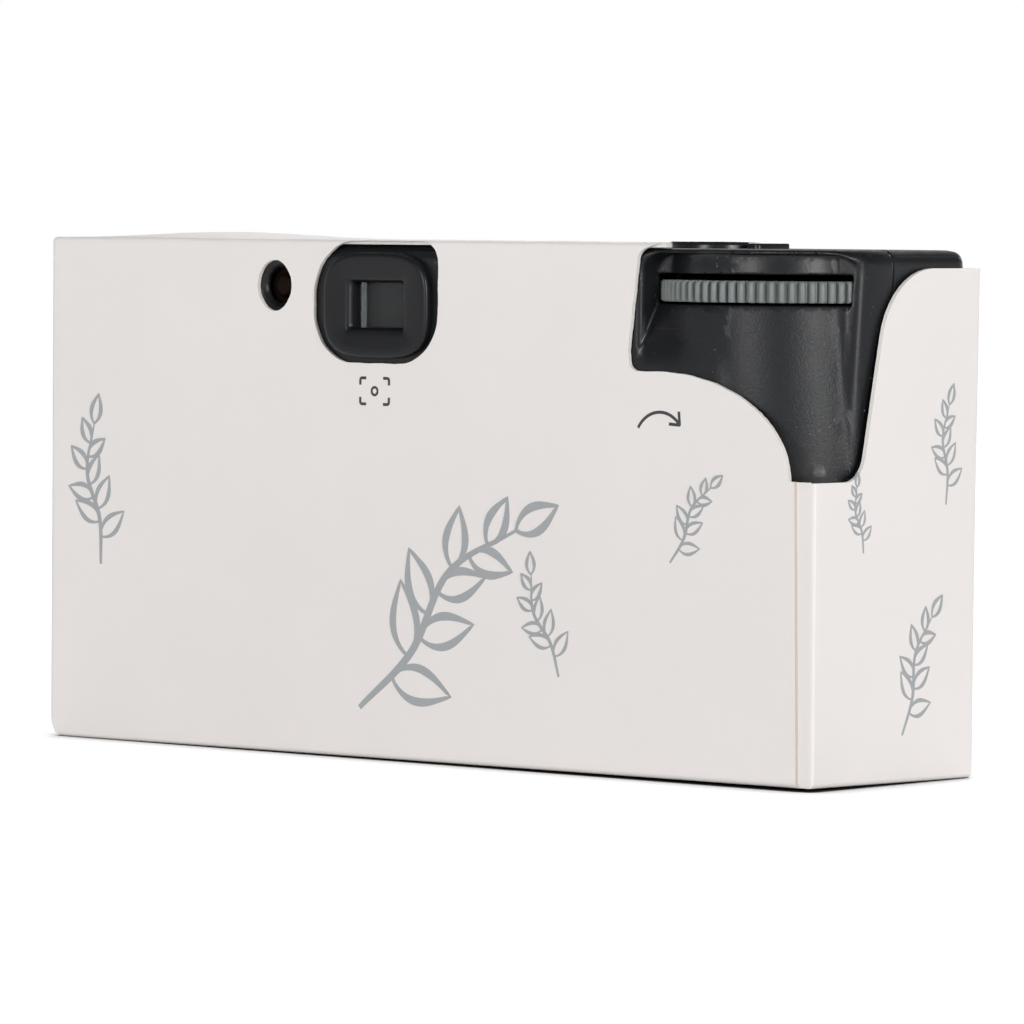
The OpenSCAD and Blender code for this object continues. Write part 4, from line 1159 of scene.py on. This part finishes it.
# Sprigs on each panel: root (right, up), turn in degrees, length and pen, in millimetres
SPRIGS = {
    "rear": [((-8.0, 6.0), 38, 34, 1.0), ((22.0, 11.0), -30, 13, 0.45), ((-49.5, 21.0), -14, 18, 0.6),
             ((38.0, 24.5), 24, 11, 0.4)],
    "right": [((1.5, 5.5), 12, 15, 0.5), ((9.0, 31.0), -8, 12, 0.42), ((-6.0, 26.0), -20, 8, 0.35)],
    "front": [((-36.0, 7.0), -24, 22, 0.75), ((34.0, 9.0), 20, 17, 0.6), ((46.0, 30.0), -35, 9, 0.4)],
    "left": [((0.0, 12.0), -10, 20, 0.6), ((7.0, 37.0), 20, 10, 0.4)],
}


def finder_sign(centre):
    """Four corner brackets: look through here"""
    parts = []
    for sx in (-1, 1):
        for sy in (-1, 1):
            path = np.array([(sx * 1.3, sy * 1.5), (sx * 2.2, sy * 1.5), (sx * 2.2, sy * 0.7)]) + centre
            parts.append(stroke(rounded([(*path[0], 0), (*path[1], 0.25), (*path[2], 0)], 4, False), 0.34))
    turn = np.linspace(0, 2 * math.pi, 25)
    parts.append(stroke(np.stack([0.45 * np.cos(turn), 0.45 * np.sin(turn)], 1) + centre, 0.3))
    return parts


def wheel_sign(centre):
    """A bent arrow: turn the wheel this way"""
    turn = np.radians(np.linspace(150, 40, 24))
    arc = np.stack([3.6 * np.cos(turn), 3.6 * np.sin(turn)], 1) + centre
    tip = arc[-1] + (arc[-1] - arc[-2]) * 0.4
    head = [(*(tip + (-1.55, 0.1)), 0), (*tip, 0.08), (*(tip + (-0.15, 1.5)), 0)]
    return [stroke(arc, 0.36), stroke(rounded(head, 3, False), 0.36)]


# Height of the two signs above the base, and how far left of the wheel's axis the arrow turns
FINDER_SIGN_Z, WHEEL_SIGN_Z = 42.6, 37.6
WHEEL_SIGN_LEFT = 6.0


class FILMCAMERA_OT_print(bpy.types.Operator):
    """Adds the printed sprigs and the two small signs"""

    bl_idname = "film_camera.print"
    bl_label = "Print"

    def execute(self, context):
        paper = settings().paper
        ink = material("silver_ink", printed(paper.ink, 0.42))
        for panel, places in SPRIGS.items():
            parts = [part for root, turn, size, pen in places
                     for part in sprig(np.array(root), math.radians(-turn), size, pen)]
            piece = shape("print_" + panel, *on_panel(parts, panel), [ink])
            settle(piece, "camera", "paperboard")
        mark = material("dark_ink", printed(paper.mark, 0.5))
        signs = (finder_sign(np.array([FINDER[0] - 0.5, FINDER_SIGN_Z]))
                 + wheel_sign(np.array([WHEEL[0] - WHEEL_SIGN_LEFT, WHEEL_SIGN_Z])))
        settle(shape("print_signs", *on_panel(signs, "rear"), [mark]), "camera", "paperboard")
        return {"FINISHED"}


# Repeats
def copies_tree(name, source):
    """Node tree that sets copies of a shape in a ring or a row, joins them to a mesh and finishes all"""
    tree = bpy.data.node_groups.new(name, "GeometryNodeTree")
    face = tree.interface
    face.new_socket("Geometry", in_out="INPUT", socket_type="NodeSocketGeometry")
    for label, kind in (("Count", "Int"), ("Reach", "Float"), ("Height", "Float"), ("Copy", "Object"),
                        ("Finish", "Material")):
        face.new_socket(label, in_out="INPUT", socket_type="NodeSocket" + kind)
    face.new_socket("Geometry", in_out="OUTPUT", socket_type="NodeSocketGeometry")
    add, link = tree.nodes.new, tree.links.new
    given, out = add("NodeGroupInput"), add("NodeGroupOutput")
    copy, place = add("GeometryNodeObjectInfo"), add("GeometryNodeInstanceOnPoints")
    lift, offset = add("GeometryNodeSetPosition"), add("ShaderNodeCombineXYZ")
    joined, real = add("GeometryNodeJoinGeometry"), add("GeometryNodeRealizeInstances")
    finish = add("GeometryNodeSetMaterial")
    link(given.outputs["Copy"], copy.inputs["Object"])
    link(given.outputs["Height"], offset.inputs["Z"])
    if source == "ring":
        points = add("GeometryNodeMeshCircle")
        link(given.outputs["Count"], points.inputs["Vertices"])
        link(given.outputs["Reach"], points.inputs["Radius"])
        aim, at = add("FunctionNodeAlignRotationToVector"), add("GeometryNodeInputPosition")
        aim.axis = "X"
        aim.pivot_axis = "Z"
        flat = add("ShaderNodeVectorMath")
        flat.operation = "MULTIPLY"
        flat.inputs[1].default_value = (1.0, 1.0, 0.0)
        link(at.outputs[0], flat.inputs[0])
        link(flat.outputs[0], aim.inputs["Vector"])
        link(aim.outputs["Rotation"], place.inputs["Rotation"])
    else:
        points = add("GeometryNodeMeshLine")
        points.mode = "END_POINTS"
        start, end, minus = add("ShaderNodeCombineXYZ"), add("ShaderNodeCombineXYZ"), add("ShaderNodeMath")
        minus.operation = "MULTIPLY"
        minus.inputs[1].default_value = -1.0
        link(given.outputs["Count"], points.inputs["Count"])
        link(given.outputs["Reach"], minus.inputs[0])
        link(minus.outputs[0], start.inputs["X"])
        link(given.outputs["Reach"], end.inputs["X"])
        link(start.outputs[0], points.inputs["Start Location"])
        link(end.outputs[0], points.inputs["Offset"])
    link(points.outputs["Mesh"], lift.inputs["Geometry"])
    link(offset.outputs[0], lift.inputs["Offset"])
    link(lift.outputs[0], place.inputs["Points"])
    link(copy.outputs["Geometry"], place.inputs["Instance"])
    link(given.outputs["Geometry"], joined.inputs[0])
    link(place.outputs["Instances"], joined.inputs[0])
    link(joined.outputs[0], real.inputs[0])
    link(real.outputs[0], finish.inputs["Geometry"])
    link(given.outputs["Finish"], finish.inputs["Material"])
    link(finish.outputs[0], out.inputs[0])
    return tree


def with_copies(base, copy, source, count, reach, height, finish):
    """The base mesh joined with copies of another shape in a ring or a row; lengths in millimetres"""
    name = "copies_in_a_" + source
    tree = bpy.data.node_groups.get(name) or copies_tree(name, source)
    more = base.modifiers.new("copies", "NODES")
    more.node_group = tree
    values = {"Count": count, "Reach": reach * MM, "Height": height * MM, "Copy": copy, "Finish": finish}
    for item in tree.interface.items_tree:
        if item.in_out == "INPUT" and item.name in values:
            more[item.identifier] = values[item.name]
    done = evaluated(base)
    base.modifiers.clear()
    base.data = done
    smooth(done, SHARP)
    bpy.data.meshes.remove(copy.data)


def moved(piece, place, way="up"):
    """The piece's points, made about the origin, set in their place"""
    turn = Euler((-math.pi / 2 if way == "front" else 0.0, 0.0, 0.0)).to_matrix().to_4x4()
    piece.data.transform(Matrix.Translation(Vector([c * MM for c in place])) @ turn)
    return piece


class FILMCAMERA_OT_wheel(bpy.types.Operator):
    """Adds the advance wheel with its ribs and shaft"""

    bl_idname = "film_camera.wheel"
    bl_label = "Advance wheel"

    def execute(self, context):
        mould = settings().mould
        finish = material("wheel_grey", plain_plastic(mould.wheel, 0.42, 0.00004))
        thick, shaft, valley = 2.4, 2.5, WHEEL_R - 0.8
        dish = thick - 0.5
        base_z = WHEEL_HIGH[2] - 2.8
        foot = WHEEL_LOW[2] - base_z
        profile = [(0, foot, 0), (shaft, foot, 0.3), (shaft, 0, 0.2), (valley - 0.1, 0, 0.15),
                   (valley, 0.2, 0.1), (valley, thick - 0.2, 0.1), (valley - 0.1, thick, 0.15),
                   (11.6, thick, 0.2), (11.2, dish, 0.2), (4.6, dish, 0.2), (4.2, thick, 0.2), (0, thick, 0)]
        core = shape("wheel", *turned(profile, 4, 150), [finish])
        half = math.pi * WHEEL_R / mould.teeth * 0.74
        # One side of a rib's outline from its root to the crown, and (height, drop) of its rings
        flank = ((-0.3, 1.0), (0.38, 0.9), (0.62, 0.68), (0.76, 0.36))
        rib = [*((x, -half * y) for x, y in flank), (0.8, 0), *((x, half * y) for x, y in flank[::-1])]
        ends = ((0.0, 0.2), (0.12, 0.06), (0.3, 0.0), (thick - 0.35, 0.0), (thick - 0.12, 0.12), (thick, 0.3))
        rings = [[(x - drop, y, z) for x, y in rib] for z, drop in ends]
        tooth = shape("rib", *loft(rings), [finish])
        with_copies(core, tooth, "ring", mould.teeth, valley, 0.0, finish)
        moved(core, (WHEEL[0], WHEEL[1], base_z))
        settle(core, "wheel", "wheel_grey", "advance_wheel")
        return {"FINISHED"}


class FILMCAMERA_OT_finder(bpy.types.Operator):
    """Adds the eyepiece frame and the ready lamp, and finishes the clear windows"""

    bl_idname = "film_camera.finder"
    bl_label = "Finder"

    def execute(self, context):
        finish = material("eyepiece_black", plain_plastic((0.0068, 0.0074, 0.0090), 0.3, 0.000015, 0.26))
        low, high = box_mm("eyepiece_frame")
        trim = 0.6
        width, height, out = high[0] - low[0] - trim, high[2] - low[2], high[1] - low[1]
        # Rings: width and height less than the frame's, squareness, share of how far it stands out
        steps = ((0, 0, 3.4, 0), (0, 0, 3.4, 0.55), (0.12, 0.12, 3.4, 0.76), (0.35, 0.35, 3.4, 0.91),
                 (0.7, 0.7, 3.4, 0.98), (1.2, 1.2, 3.4, 1.0), (3.0, 2.6, 3.8, 0.95), (5.6, 4.6, 5.5, 0.86),
                 (6.9, 5.9, 12, 0.80), (7.2, 6.2, 20, 0.76), (7.8, 6.7, 30, 0.45), (8.1, 7.0, 30, 0.0))
        turn = np.linspace(0, 2 * math.pi, 144, endpoint=False)
        way = np.stack([np.cos(turn), np.sin(turn)], 1)
        rings = []
        for dx, dy, square, share in steps:
            a, b = (width - dx) / 2, (height - dy) / 2
            reach = np.sum(np.abs(way / (a, b)) ** square, axis=1) ** (-1 / square)
            rings.append(level(way * reach[:, None], share * out))
        points, faces = loft(rings, True)
        centre = (FINDER[0] - trim / 2, high[1], FINDER[2])
        piece = shape("eyepiece", facing(points, centre, "rear"), faces, [finish], sharp=50)
        settle(piece, "camera", "gloss_black", "eyepiece_frame")
        low, high = box_mm("ready_lamp")
        deep = high[1] - low[1] - 0.4
        profile = rounded([(0, 0, 0), (1.2, 0, 1.0), (1.45, 0.8, 0.3), (3.0, 0.85, 0.1), (3.0, 1.4, 0.1),
                           (1.4, 1.5, 0.2), (1.4, deep, 0.3), (0, deep, 0)], 4, False)
        points, faces = revolve([(r, -h) for r, h in profile], 32)
        # Its glass is coloured nearly black: painted shade of the hole
        lamp = shape("lamp", facing(points, (LAMP[0], low[1] + 0.3, LAMP[2]), "rear"), faces,
                     [material("lamp_glass", dark_lamp)])
        settle(lamp, "camera", "lamp_orange", "ready_lamp")
        clear_plastic = material("finder_clear", clear((0.93, 0.95, 0.96), 1.49))
        dress("eyepiece_lens", material("eyepiece_clear", clear((0.90, 0.93, 0.95), 1.2, 0.03, 0.98)))
        for node in ("finder_lens", "counter_window"):
            dress(node, clear_plastic)
        return {"FINISHED"}


class FILMCAMERA_OT_buttons(bpy.types.Operator):
    """Adds the shutter button with its stem, and the flash button"""

    bl_idname = "film_camera.buttons"
    bl_label = "Buttons"

    def execute(self, context):
        gloss = material("button_black", plain_plastic((0.0085, 0.0092, 0.0108), 0.24, 0.00001, 0.3))
        low, high = BUTTON_LOW, BUTTON_HIGH
        top = 2.8
        flange_z = high[2] - top
        points, faces = turned([(0, 0, 0), (BUTTON_FLANGE_R, 0, 0.1), (BUTTON_FLANGE_R, 0.5, 0.15),
                                (BUTTON_R, 0.5, 0.1), (BUTTON_R, top, 0.55), (4.6, top, 0.3),
                                (4.2, top - 0.12, 0.4), (0, top - 0.2, 0)], 5, 96)
        cap = (points + (BUTTON_X, 0, flange_z), faces)
        stem_r = 1.0
        stem_x, tall = low[0] + stem_r, flange_z - low[2] + 0.3
        points, faces = turned([(0, 0, 0), (stem_r, 0, 0.2), (stem_r, tall, 0.2), (0, tall, 0)], 3, 32)
        stem = (points + (stem_x, 0, low[2]), faces)
        bar = rectangle(BUTTON_X - stem_x, 1.9, 0.3, 3) + ((BUTTON_X + stem_x) / 2, 0)
        arm = loft([level(bar, flange_z + rise) for rise in (0.05, 0.45)])
        piece = shape("shutter_button_cap", *gather([cap, stem, arm]), [gloss])
        settle(piece, "button", "gloss_black", "shutter_button")
        low, high = box_mm("flash_button")
        reach = high[1] - low[1]
        points, faces = turned([(0, 0, 0), (4.9, 0, 0.2), (4.9, 1.2, 0.2), (4.2, 1.2, 0.1), (4.2, reach, 0.5),
                                (3.2, reach, 0.4), (2.4, reach - 0.25, 0.8), (0, reach - 0.3, 0)], 5, 72)
        points = facing(points, (FLASH_BUTTON[0], low[1], FLASH_BUTTON[2]), "front")
        white = material("button_white", plain_plastic((0.62, 0.62, 0.61), 0.35))
        piece = shape("flash_button_cap", points, faces, [white])
        settle(piece, "flash_switch", "white_plastic", "flash_button")
        return {"FINISHED"}


class FILMCAMERA_OT_lens(bpy.types.Operator):
    """Adds the taking lens and the ring that holds it"""

    bl_idname = "film_camera.lens"
    bl_label = "Lens"

    def execute(self, context):
        glass = material("lens_glass", clear((0.88, 0.90, 0.98), 1.58, 0.0))
        low, high = box_mm("taking_lens")
        thick, rim_r, rim_h = high[1] - low[1], 3.98, 0.95
        bow_r, bow_h, dip_r, dip_h = 3.35, 1.15, 3.2, 0.45
        bow = [(bow_r * math.cos(a), thick - bow_h * (1 - math.sin(a)))
               for a in np.linspace(0, math.pi / 2, 9)]
        dip = [(dip_r * math.sin(a), dip_h * math.cos(a)) for a in np.linspace(0, math.pi / 2, 6)]
        points, faces = revolve([*dip, (rim_r, 0.0), (rim_r, rim_h), *bow], 72)
        piece = shape("lens", facing(points, (LENS[0], low[1], LENS[2]), "front"), faces, [glass])
        settle(piece, "camera", "lens_glass", "taking_lens")
        gloss = material("ring_black", plain_plastic((0.016, 0.017, 0.019), 0.28, 0.00002))
        low, high = box_mm("lens_ring")
        deep, bore, outer, ribs = high[1] - low[1], 3.45, 6.18, 60
        profile = rounded([(bore, 0, 0.05), (outer, 0, 0.1), (outer, deep - 0.25, 0.15), (5.9, deep, 0.2),
                           (5.1, deep, 0.15), (4.0, 0.55, 0.2), (bore, 0.5, 0.1)], 4)
        ring = shape("ring", *revolve(profile, 120, True), [gloss])
        rib = shape("rib", *loft([[(-0.28, -0.1, z), (0.1, -0.07, z), (0.1, 0.07, z), (-0.28, 0.1, z)]
                                  for z in (0.1, deep - 0.25)]), [gloss])
        with_copies(ring, rib, "ring", ribs, 5.0, 0.15, gloss)
        moved(ring, (LENS[0], low[1], LENS[2]), "front")
        settle(ring, "camera", "gloss_black", "lens_ring")
        return {"FINISHED"}


class FILMCAMERA_OT_flash(bpy.types.Operator):
    """Adds the ribbed flash window and finishes what lies behind it"""

    bl_idname = "film_camera.flash"
    bl_label = "Flash"

    def execute(self, context):
        milky = material("flash_frosted", frosted)
        low, high = box_mm("flash_window")
        width, height, depth = high[0] - low[0], high[2] - low[2], high[1] - low[1]
        ribs, margin, row_in = 29, 1.0, 1.1
        rings = [level(rectangle(width - inset, height - inset, 0.5, 4), w)
                 for w, inset in ((0, 0.2), (0.1, 0), (depth - 0.3, 0), (depth - 0.2, 0.3))]
        window = shape("window", *loft(rings), [milky])
        rib = [(-0.32, -0.1), (0.32, -0.1), (0.2, 0.12), (0, 0.2), (-0.2, 0.12)]
        bar = loft([[(x, y, w) for x, w in rib] for y in (height / 2 - margin, margin - height / 2)])
        with_copies(window, shape("rib", *bar, [milky]), "row", ribs, width / 2 - row_in, depth - 0.2, milky)
        moved(window, (FLASH[0], low[1], FLASH[2]), "front")
        settle(window, "camera", "frosted_plastic", "flash_window")
        dress("flash_reflector", material("mirror", metal((0.86, 0.87, 0.88), 0.12)))
        dress("flash_tube", material("tube_glass", clear((0.95, 0.97, 1.0), 1.5)))
        return {"FINISHED"}


class FILMCAMERA_OT_counter(bpy.types.Operator):
    """Adds the frame counter disc with its ticks and numbers"""

    bl_idname = "film_camera.counter"
    bl_label = "Frame counter"

    def execute(self, context):
        white = material("counter_white", plain_plastic((0.68, 0.67, 0.64), 0.4))
        black = material("counter_ink", printed((0.02, 0.02, 0.022), 0.45))
        low, high = box_mm("counter_disc")
        radius, thick, ticks = (high[0] - low[0]) / 2, high[2] - low[2], 30
        face = thick - 0.02
        under = thick - 0.8
        profile = [(0, 0, 0), (1.5, 0, 0.2), (1.5, under, 0.1), (radius, under, 0.15), (radius, face, 0.2),
                   (0, face, 0)]
        disc = shape("counter_dial", *turned(profile, 4, 96), [white])
        settle(moved(disc, (COUNTER[0], COUNTER[1], low[2])), "counter", "white_plastic", "counter_disc")
        seed = shape("dial_ticks", *revolve([(0.0, 0.0), (0.5, 0.0), (0.5, 0.02), (0.0, 0.02)], 24), [black])
        tick = shape("tick", *loft([[(-0.45, -0.09, z), (0.45, -0.09, z), (0.45, 0.09, z), (-0.45, 0.09, z)]
                                    for z in (0.0, 0.02)]), [black])
        with_copies(seed, tick, "ring", ticks, radius - 0.75, 0.0, black)
        settle(moved(seed, (COUNTER[0], COUNTER[1], low[2] + face)), "counter", "white_plastic")
        for number in range(0, ticks, 5):
            words = bpy.data.curves.new("number", "FONT")
            words.body = str(number)
            words.size = 2.3 * MM
            words.extrude = 0.01 * MM
            words.align_x = "CENTER"
            words.align_y = "CENTER"
            holder = placed("holder", words)
            mesh = evaluated(holder)
            bpy.data.objects.remove(holder)
            angle, reach = 2 * math.pi * number / ticks + math.pi, radius - 2.7
            spot = Vector((COUNTER[0] + math.cos(angle) * reach, COUNTER[1] + math.sin(angle) * reach,
                           low[2] + face + 0.01)) * MM
            mesh.transform(Matrix.Translation(spot) @ Matrix.Rotation(angle + math.pi / 2, 4, "Z"))
            mesh.materials.clear()
            mesh.materials.append(black)
            settle(placed(f"dial_number_{number}", mesh), "counter", "white_plastic")
        return {"FINISHED"}


class FILMCAMERA_OT_inside(bpy.types.Operator):
    """Finishes the pieces inside the covers"""

    bl_idname = "film_camera.inside"
    bl_label = "Inside"

    def execute(self, context):
        inner = plain_plastic((0.020, 0.021, 0.023), 0.55, 0.00005)
        # Pale bands of the cell and the capacitor, along X
        cell_end = box_mm("battery")[1][0]
        cell_band, capacitor_band = (cell_end - 9, cell_end - 6.5), (-60, -46)
        finishes = {
            "chassis": ("inner_black", inner),
            "aperture_plate": ("blackened_steel", metal((0.05, 0.05, 0.055), 0.4)),
            "shutter_blade": ("blade_steel", metal((0.30, 0.31, 0.33), 0.3, (1, 1, 8))),
            "shutter_spring": ("spring_steel", metal((0.55, 0.56, 0.58), 0.25)),
            "release_lever": ("lever_grey", plain_plastic((0.12, 0.125, 0.13), 0.45)),
            "ratchet_pawl": ("pawl_grey", plain_plastic((0.16, 0.165, 0.17), 0.45)),
            "cartridge_shell": ("cartridge_tin", metal((0.50, 0.51, 0.53), 0.3, (1, 1, 6))),
            "cartridge_caps": ("cap_black", inner),
            "cartridge_spool": ("spool_black", inner),
            "film_strip": ("film_base", film_base),
            "film_roll": ("film_base", film_base),
            "takeup_spool": ("spool_black", inner),
            "sprocket": ("sprocket_white", plain_plastic((0.60, 0.60, 0.58), 0.4)),
            "circuit_board": ("board_green", board_green),
            "capacitor": ("capacitor_wrap", wrapped((0.018, 0.022, 0.04), capacitor_band)),
            "transformer": ("coil_copper", wound_copper),
            "battery": ("cell_wrap", wrapped((0.05, 0.055, 0.065), cell_band)),
            "battery_contacts": ("contact_nickel", metal((0.60, 0.60, 0.58), 0.28)),
        }
        for node, (name, recipe) in finishes.items():
            dress(node, material(name, recipe))
        return {"FINISHED"}


# Stage
def direction(azimuth, elevation):
    """Unit vector towards a viewer or a lamp; azimuth 0 is straight behind the object"""
    return Vector((math.sin(azimuth) * math.cos(elevation), -math.cos(azimuth) * math.cos(elevation),
                   math.sin(elevation)))


def looking_in(azimuth, elevation, reach):
    """Place and turn of a lamp or a camera that looks at the aim from a direction, some metres away"""
    back = direction(azimuth, elevation)
    place = Vector(settings().stage.aim) + back * reach
    return Matrix.Translation(place) @ (-back).to_track_quat("-Z", "Y").to_matrix().to_4x4()


# Softboxes: azimuth and elevation in degrees, width and height in metres, power in watts
SOFTBOXES = {
    "rear_softbox": (5, 14, 0.28, 0.3, 4.15),
    "side_softbox": (71, 14, 0.28, 0.3, 6.4),
    "front_softbox": (205, 30, 0.8, 0.6, 7.5),
}
LAMP_REACH = 1.1


def soft_light(name, azimuth, elevation, width, height, power):
    """A large soft lamp that looks at the object from a direction"""
    lamp = bpy.data.lights.new(name, "AREA")
    lamp.shape = "RECTANGLE"
    lamp.size = width
    lamp.size_y = height
    lamp.energy = power
    placed(name, lamp).matrix_world = looking_in(math.radians(azimuth), math.radians(elevation), LAMP_REACH)


def seen_directly(s):
    """1 for rays from the camera or from gloss and glass"""
    rays = s.node("ShaderNodeLightPath")
    path = rays.socket.node
    seen = [Shade(s.tree, path.outputs[f"Is {kind} Ray"]) for kind in ("Camera", "Glossy", "Transmission")]
    return (seen[0] + seen[1] + seen[2]).spread(0.0, 1.0)


def white_world():
    """White where it is seen, a plain soft light elsewhere"""
    world = bpy.data.worlds.new("studio")
    bpy.context.scene.world = world
    s = blank_tree(world)
    up = s.node("ShaderNodeSeparateXYZ", {}, {"Vector": s.node("ShaderNodeTexCoord", out="Generated")}, out=2)
    band = up.spread(0.05, 0.2).tint(rgba((1, 1, 1)), rgba((0.2, 0.2, 0.2)))
    seen = s.node("ShaderNodeBackground", {}, {"Color": band})
    soft = s.node("ShaderNodeBackground", {}, {"Color": rgba((0.27, 0.27, 0.27))})
    sky = s.node("ShaderNodeMixShader", {}, {0: seen_directly(s), 1: soft, 2: seen})
    s.node("ShaderNodeOutputWorld", {}, {"Surface": sky})


def pale_floor():
    """Floor that is white where it is seen and keeps the object's shadow; near the object it has a painted
    contact shadow as well
    """
    stage = settings().stage
    made = bpy.data.materials.new("floor_pale")
    s = blank_tree(made)
    # Ambient occlusion darkens the floor's colour and holds back its white glow near the object: a painted
    # contact shadow along the edges that touch it
    near = s.node("ShaderNodeAmbientOcclusion", {"samples": 8}, {"Distance": 6 * MM}, out="AO")
    ground = near.spread(0.2, 0.55).tint(rgba(stage.floor, 0.08), rgba(stage.floor))
    matt = s.node("ShaderNodeBsdfDiffuse", {}, {"Color": ground})
    glow = s.node("ShaderNodeEmission", {}, {"Color": (1.0, 1.0, 1.0, 1.0), "Strength": 1.2})
    share = seen_directly(s) * near.spread(0.45, 0.95, 0.0, 0.82)
    surface = s.node("ShaderNodeMixShader", {}, {0: share, 1: matt, 2: glow})
    s.node("ShaderNodeOutputMaterial", {}, {"Surface": surface})
    return made


class FILMCAMERA_OT_stage(bpy.types.Operator):
    """Adds the floor, the light and the camera of the picture"""

    bl_idname = "film_camera.stage"
    bl_label = "Stage"

    def execute(self, context):
        stage = settings().stage
        scene = context.scene
        scene.view_settings.view_transform = "Standard"
        half = 6.0
        corners = [(x * half, y * half, 0) for x, y in ((-1, -1), (1, -1), (1, 1), (-1, 1))]
        mesh = bpy.data.meshes.new("floor")
        mesh.from_pydata(corners, [], [(0, 1, 2, 3)])
        mesh.materials.append(pale_floor())
        placed("floor", mesh)
        white_world()
        for name, lamp in SOFTBOXES.items():
            soft_light(name, *lamp)
        lens = bpy.data.cameras.new("picture")
        lens.sensor_width = 36.0
        lens.lens = stage.focal
        lens.clip_start = 0.01
        scene.camera = placed("picture", lens)
        view = looking_in(stage.azimuth, stage.elevation, stage.distance)
        scene.camera.matrix_world = view @ Matrix.Rotation(stage.roll, 4, "Z")
        return {"FINISHED"}


# Operators in the order in which they run
PIECES = ("covers", "sleeve", "print", "finder", "wheel", "buttons", "lens", "flash", "counter", "inside",
          "stage")


class FILMCAMERA_PT_pieces(bpy.types.Panel):
    """Lists the settings and the pieces of the film camera"""

    bl_idname = "FILMCAMERA_PT_pieces"
    bl_label = "Film camera"
    bl_space_type = "VIEW_3D"
    bl_region_type = "UI"
    bl_category = "Film Camera"

    def draw(self, context):
        chosen = settings()
        for group in (chosen.paper, chosen.mould, chosen.stage):
            box = self.layout.box()
            for name in group.__annotations__:
                box.prop(group, name)
        for piece in PIECES:
            self.layout.operator("film_camera." + piece)


CLASSES = (PaperSettings, MouldSettings, StageSettings, FilmCameraSettings, FILMCAMERA_OT_covers,
           FILMCAMERA_OT_sleeve, FILMCAMERA_OT_print, FILMCAMERA_OT_finder, FILMCAMERA_OT_wheel,
           FILMCAMERA_OT_buttons, FILMCAMERA_OT_lens, FILMCAMERA_OT_flash, FILMCAMERA_OT_counter,
           FILMCAMERA_OT_inside, FILMCAMERA_OT_stage, FILMCAMERA_PT_pieces)


def register():
    """Makes the settings, operators and panel known"""
    for kind in CLASSES:
        bpy.utils.register_class(kind)
    bpy.types.Scene.film_camera = PointerProperty(type=FilmCameraSettings)


def unregister():
    """Takes them away again"""
    del bpy.types.Scene.film_camera
    for kind in reversed(CLASSES):
        bpy.utils.unregister_class(kind)


def main():
    """Dresses the camera piece by piece"""
    register()
    for piece in PIECES:
        getattr(bpy.ops.film_camera, piece)()
    bpy.context.view_layer.update()


if __name__ == "__main__":
    main()
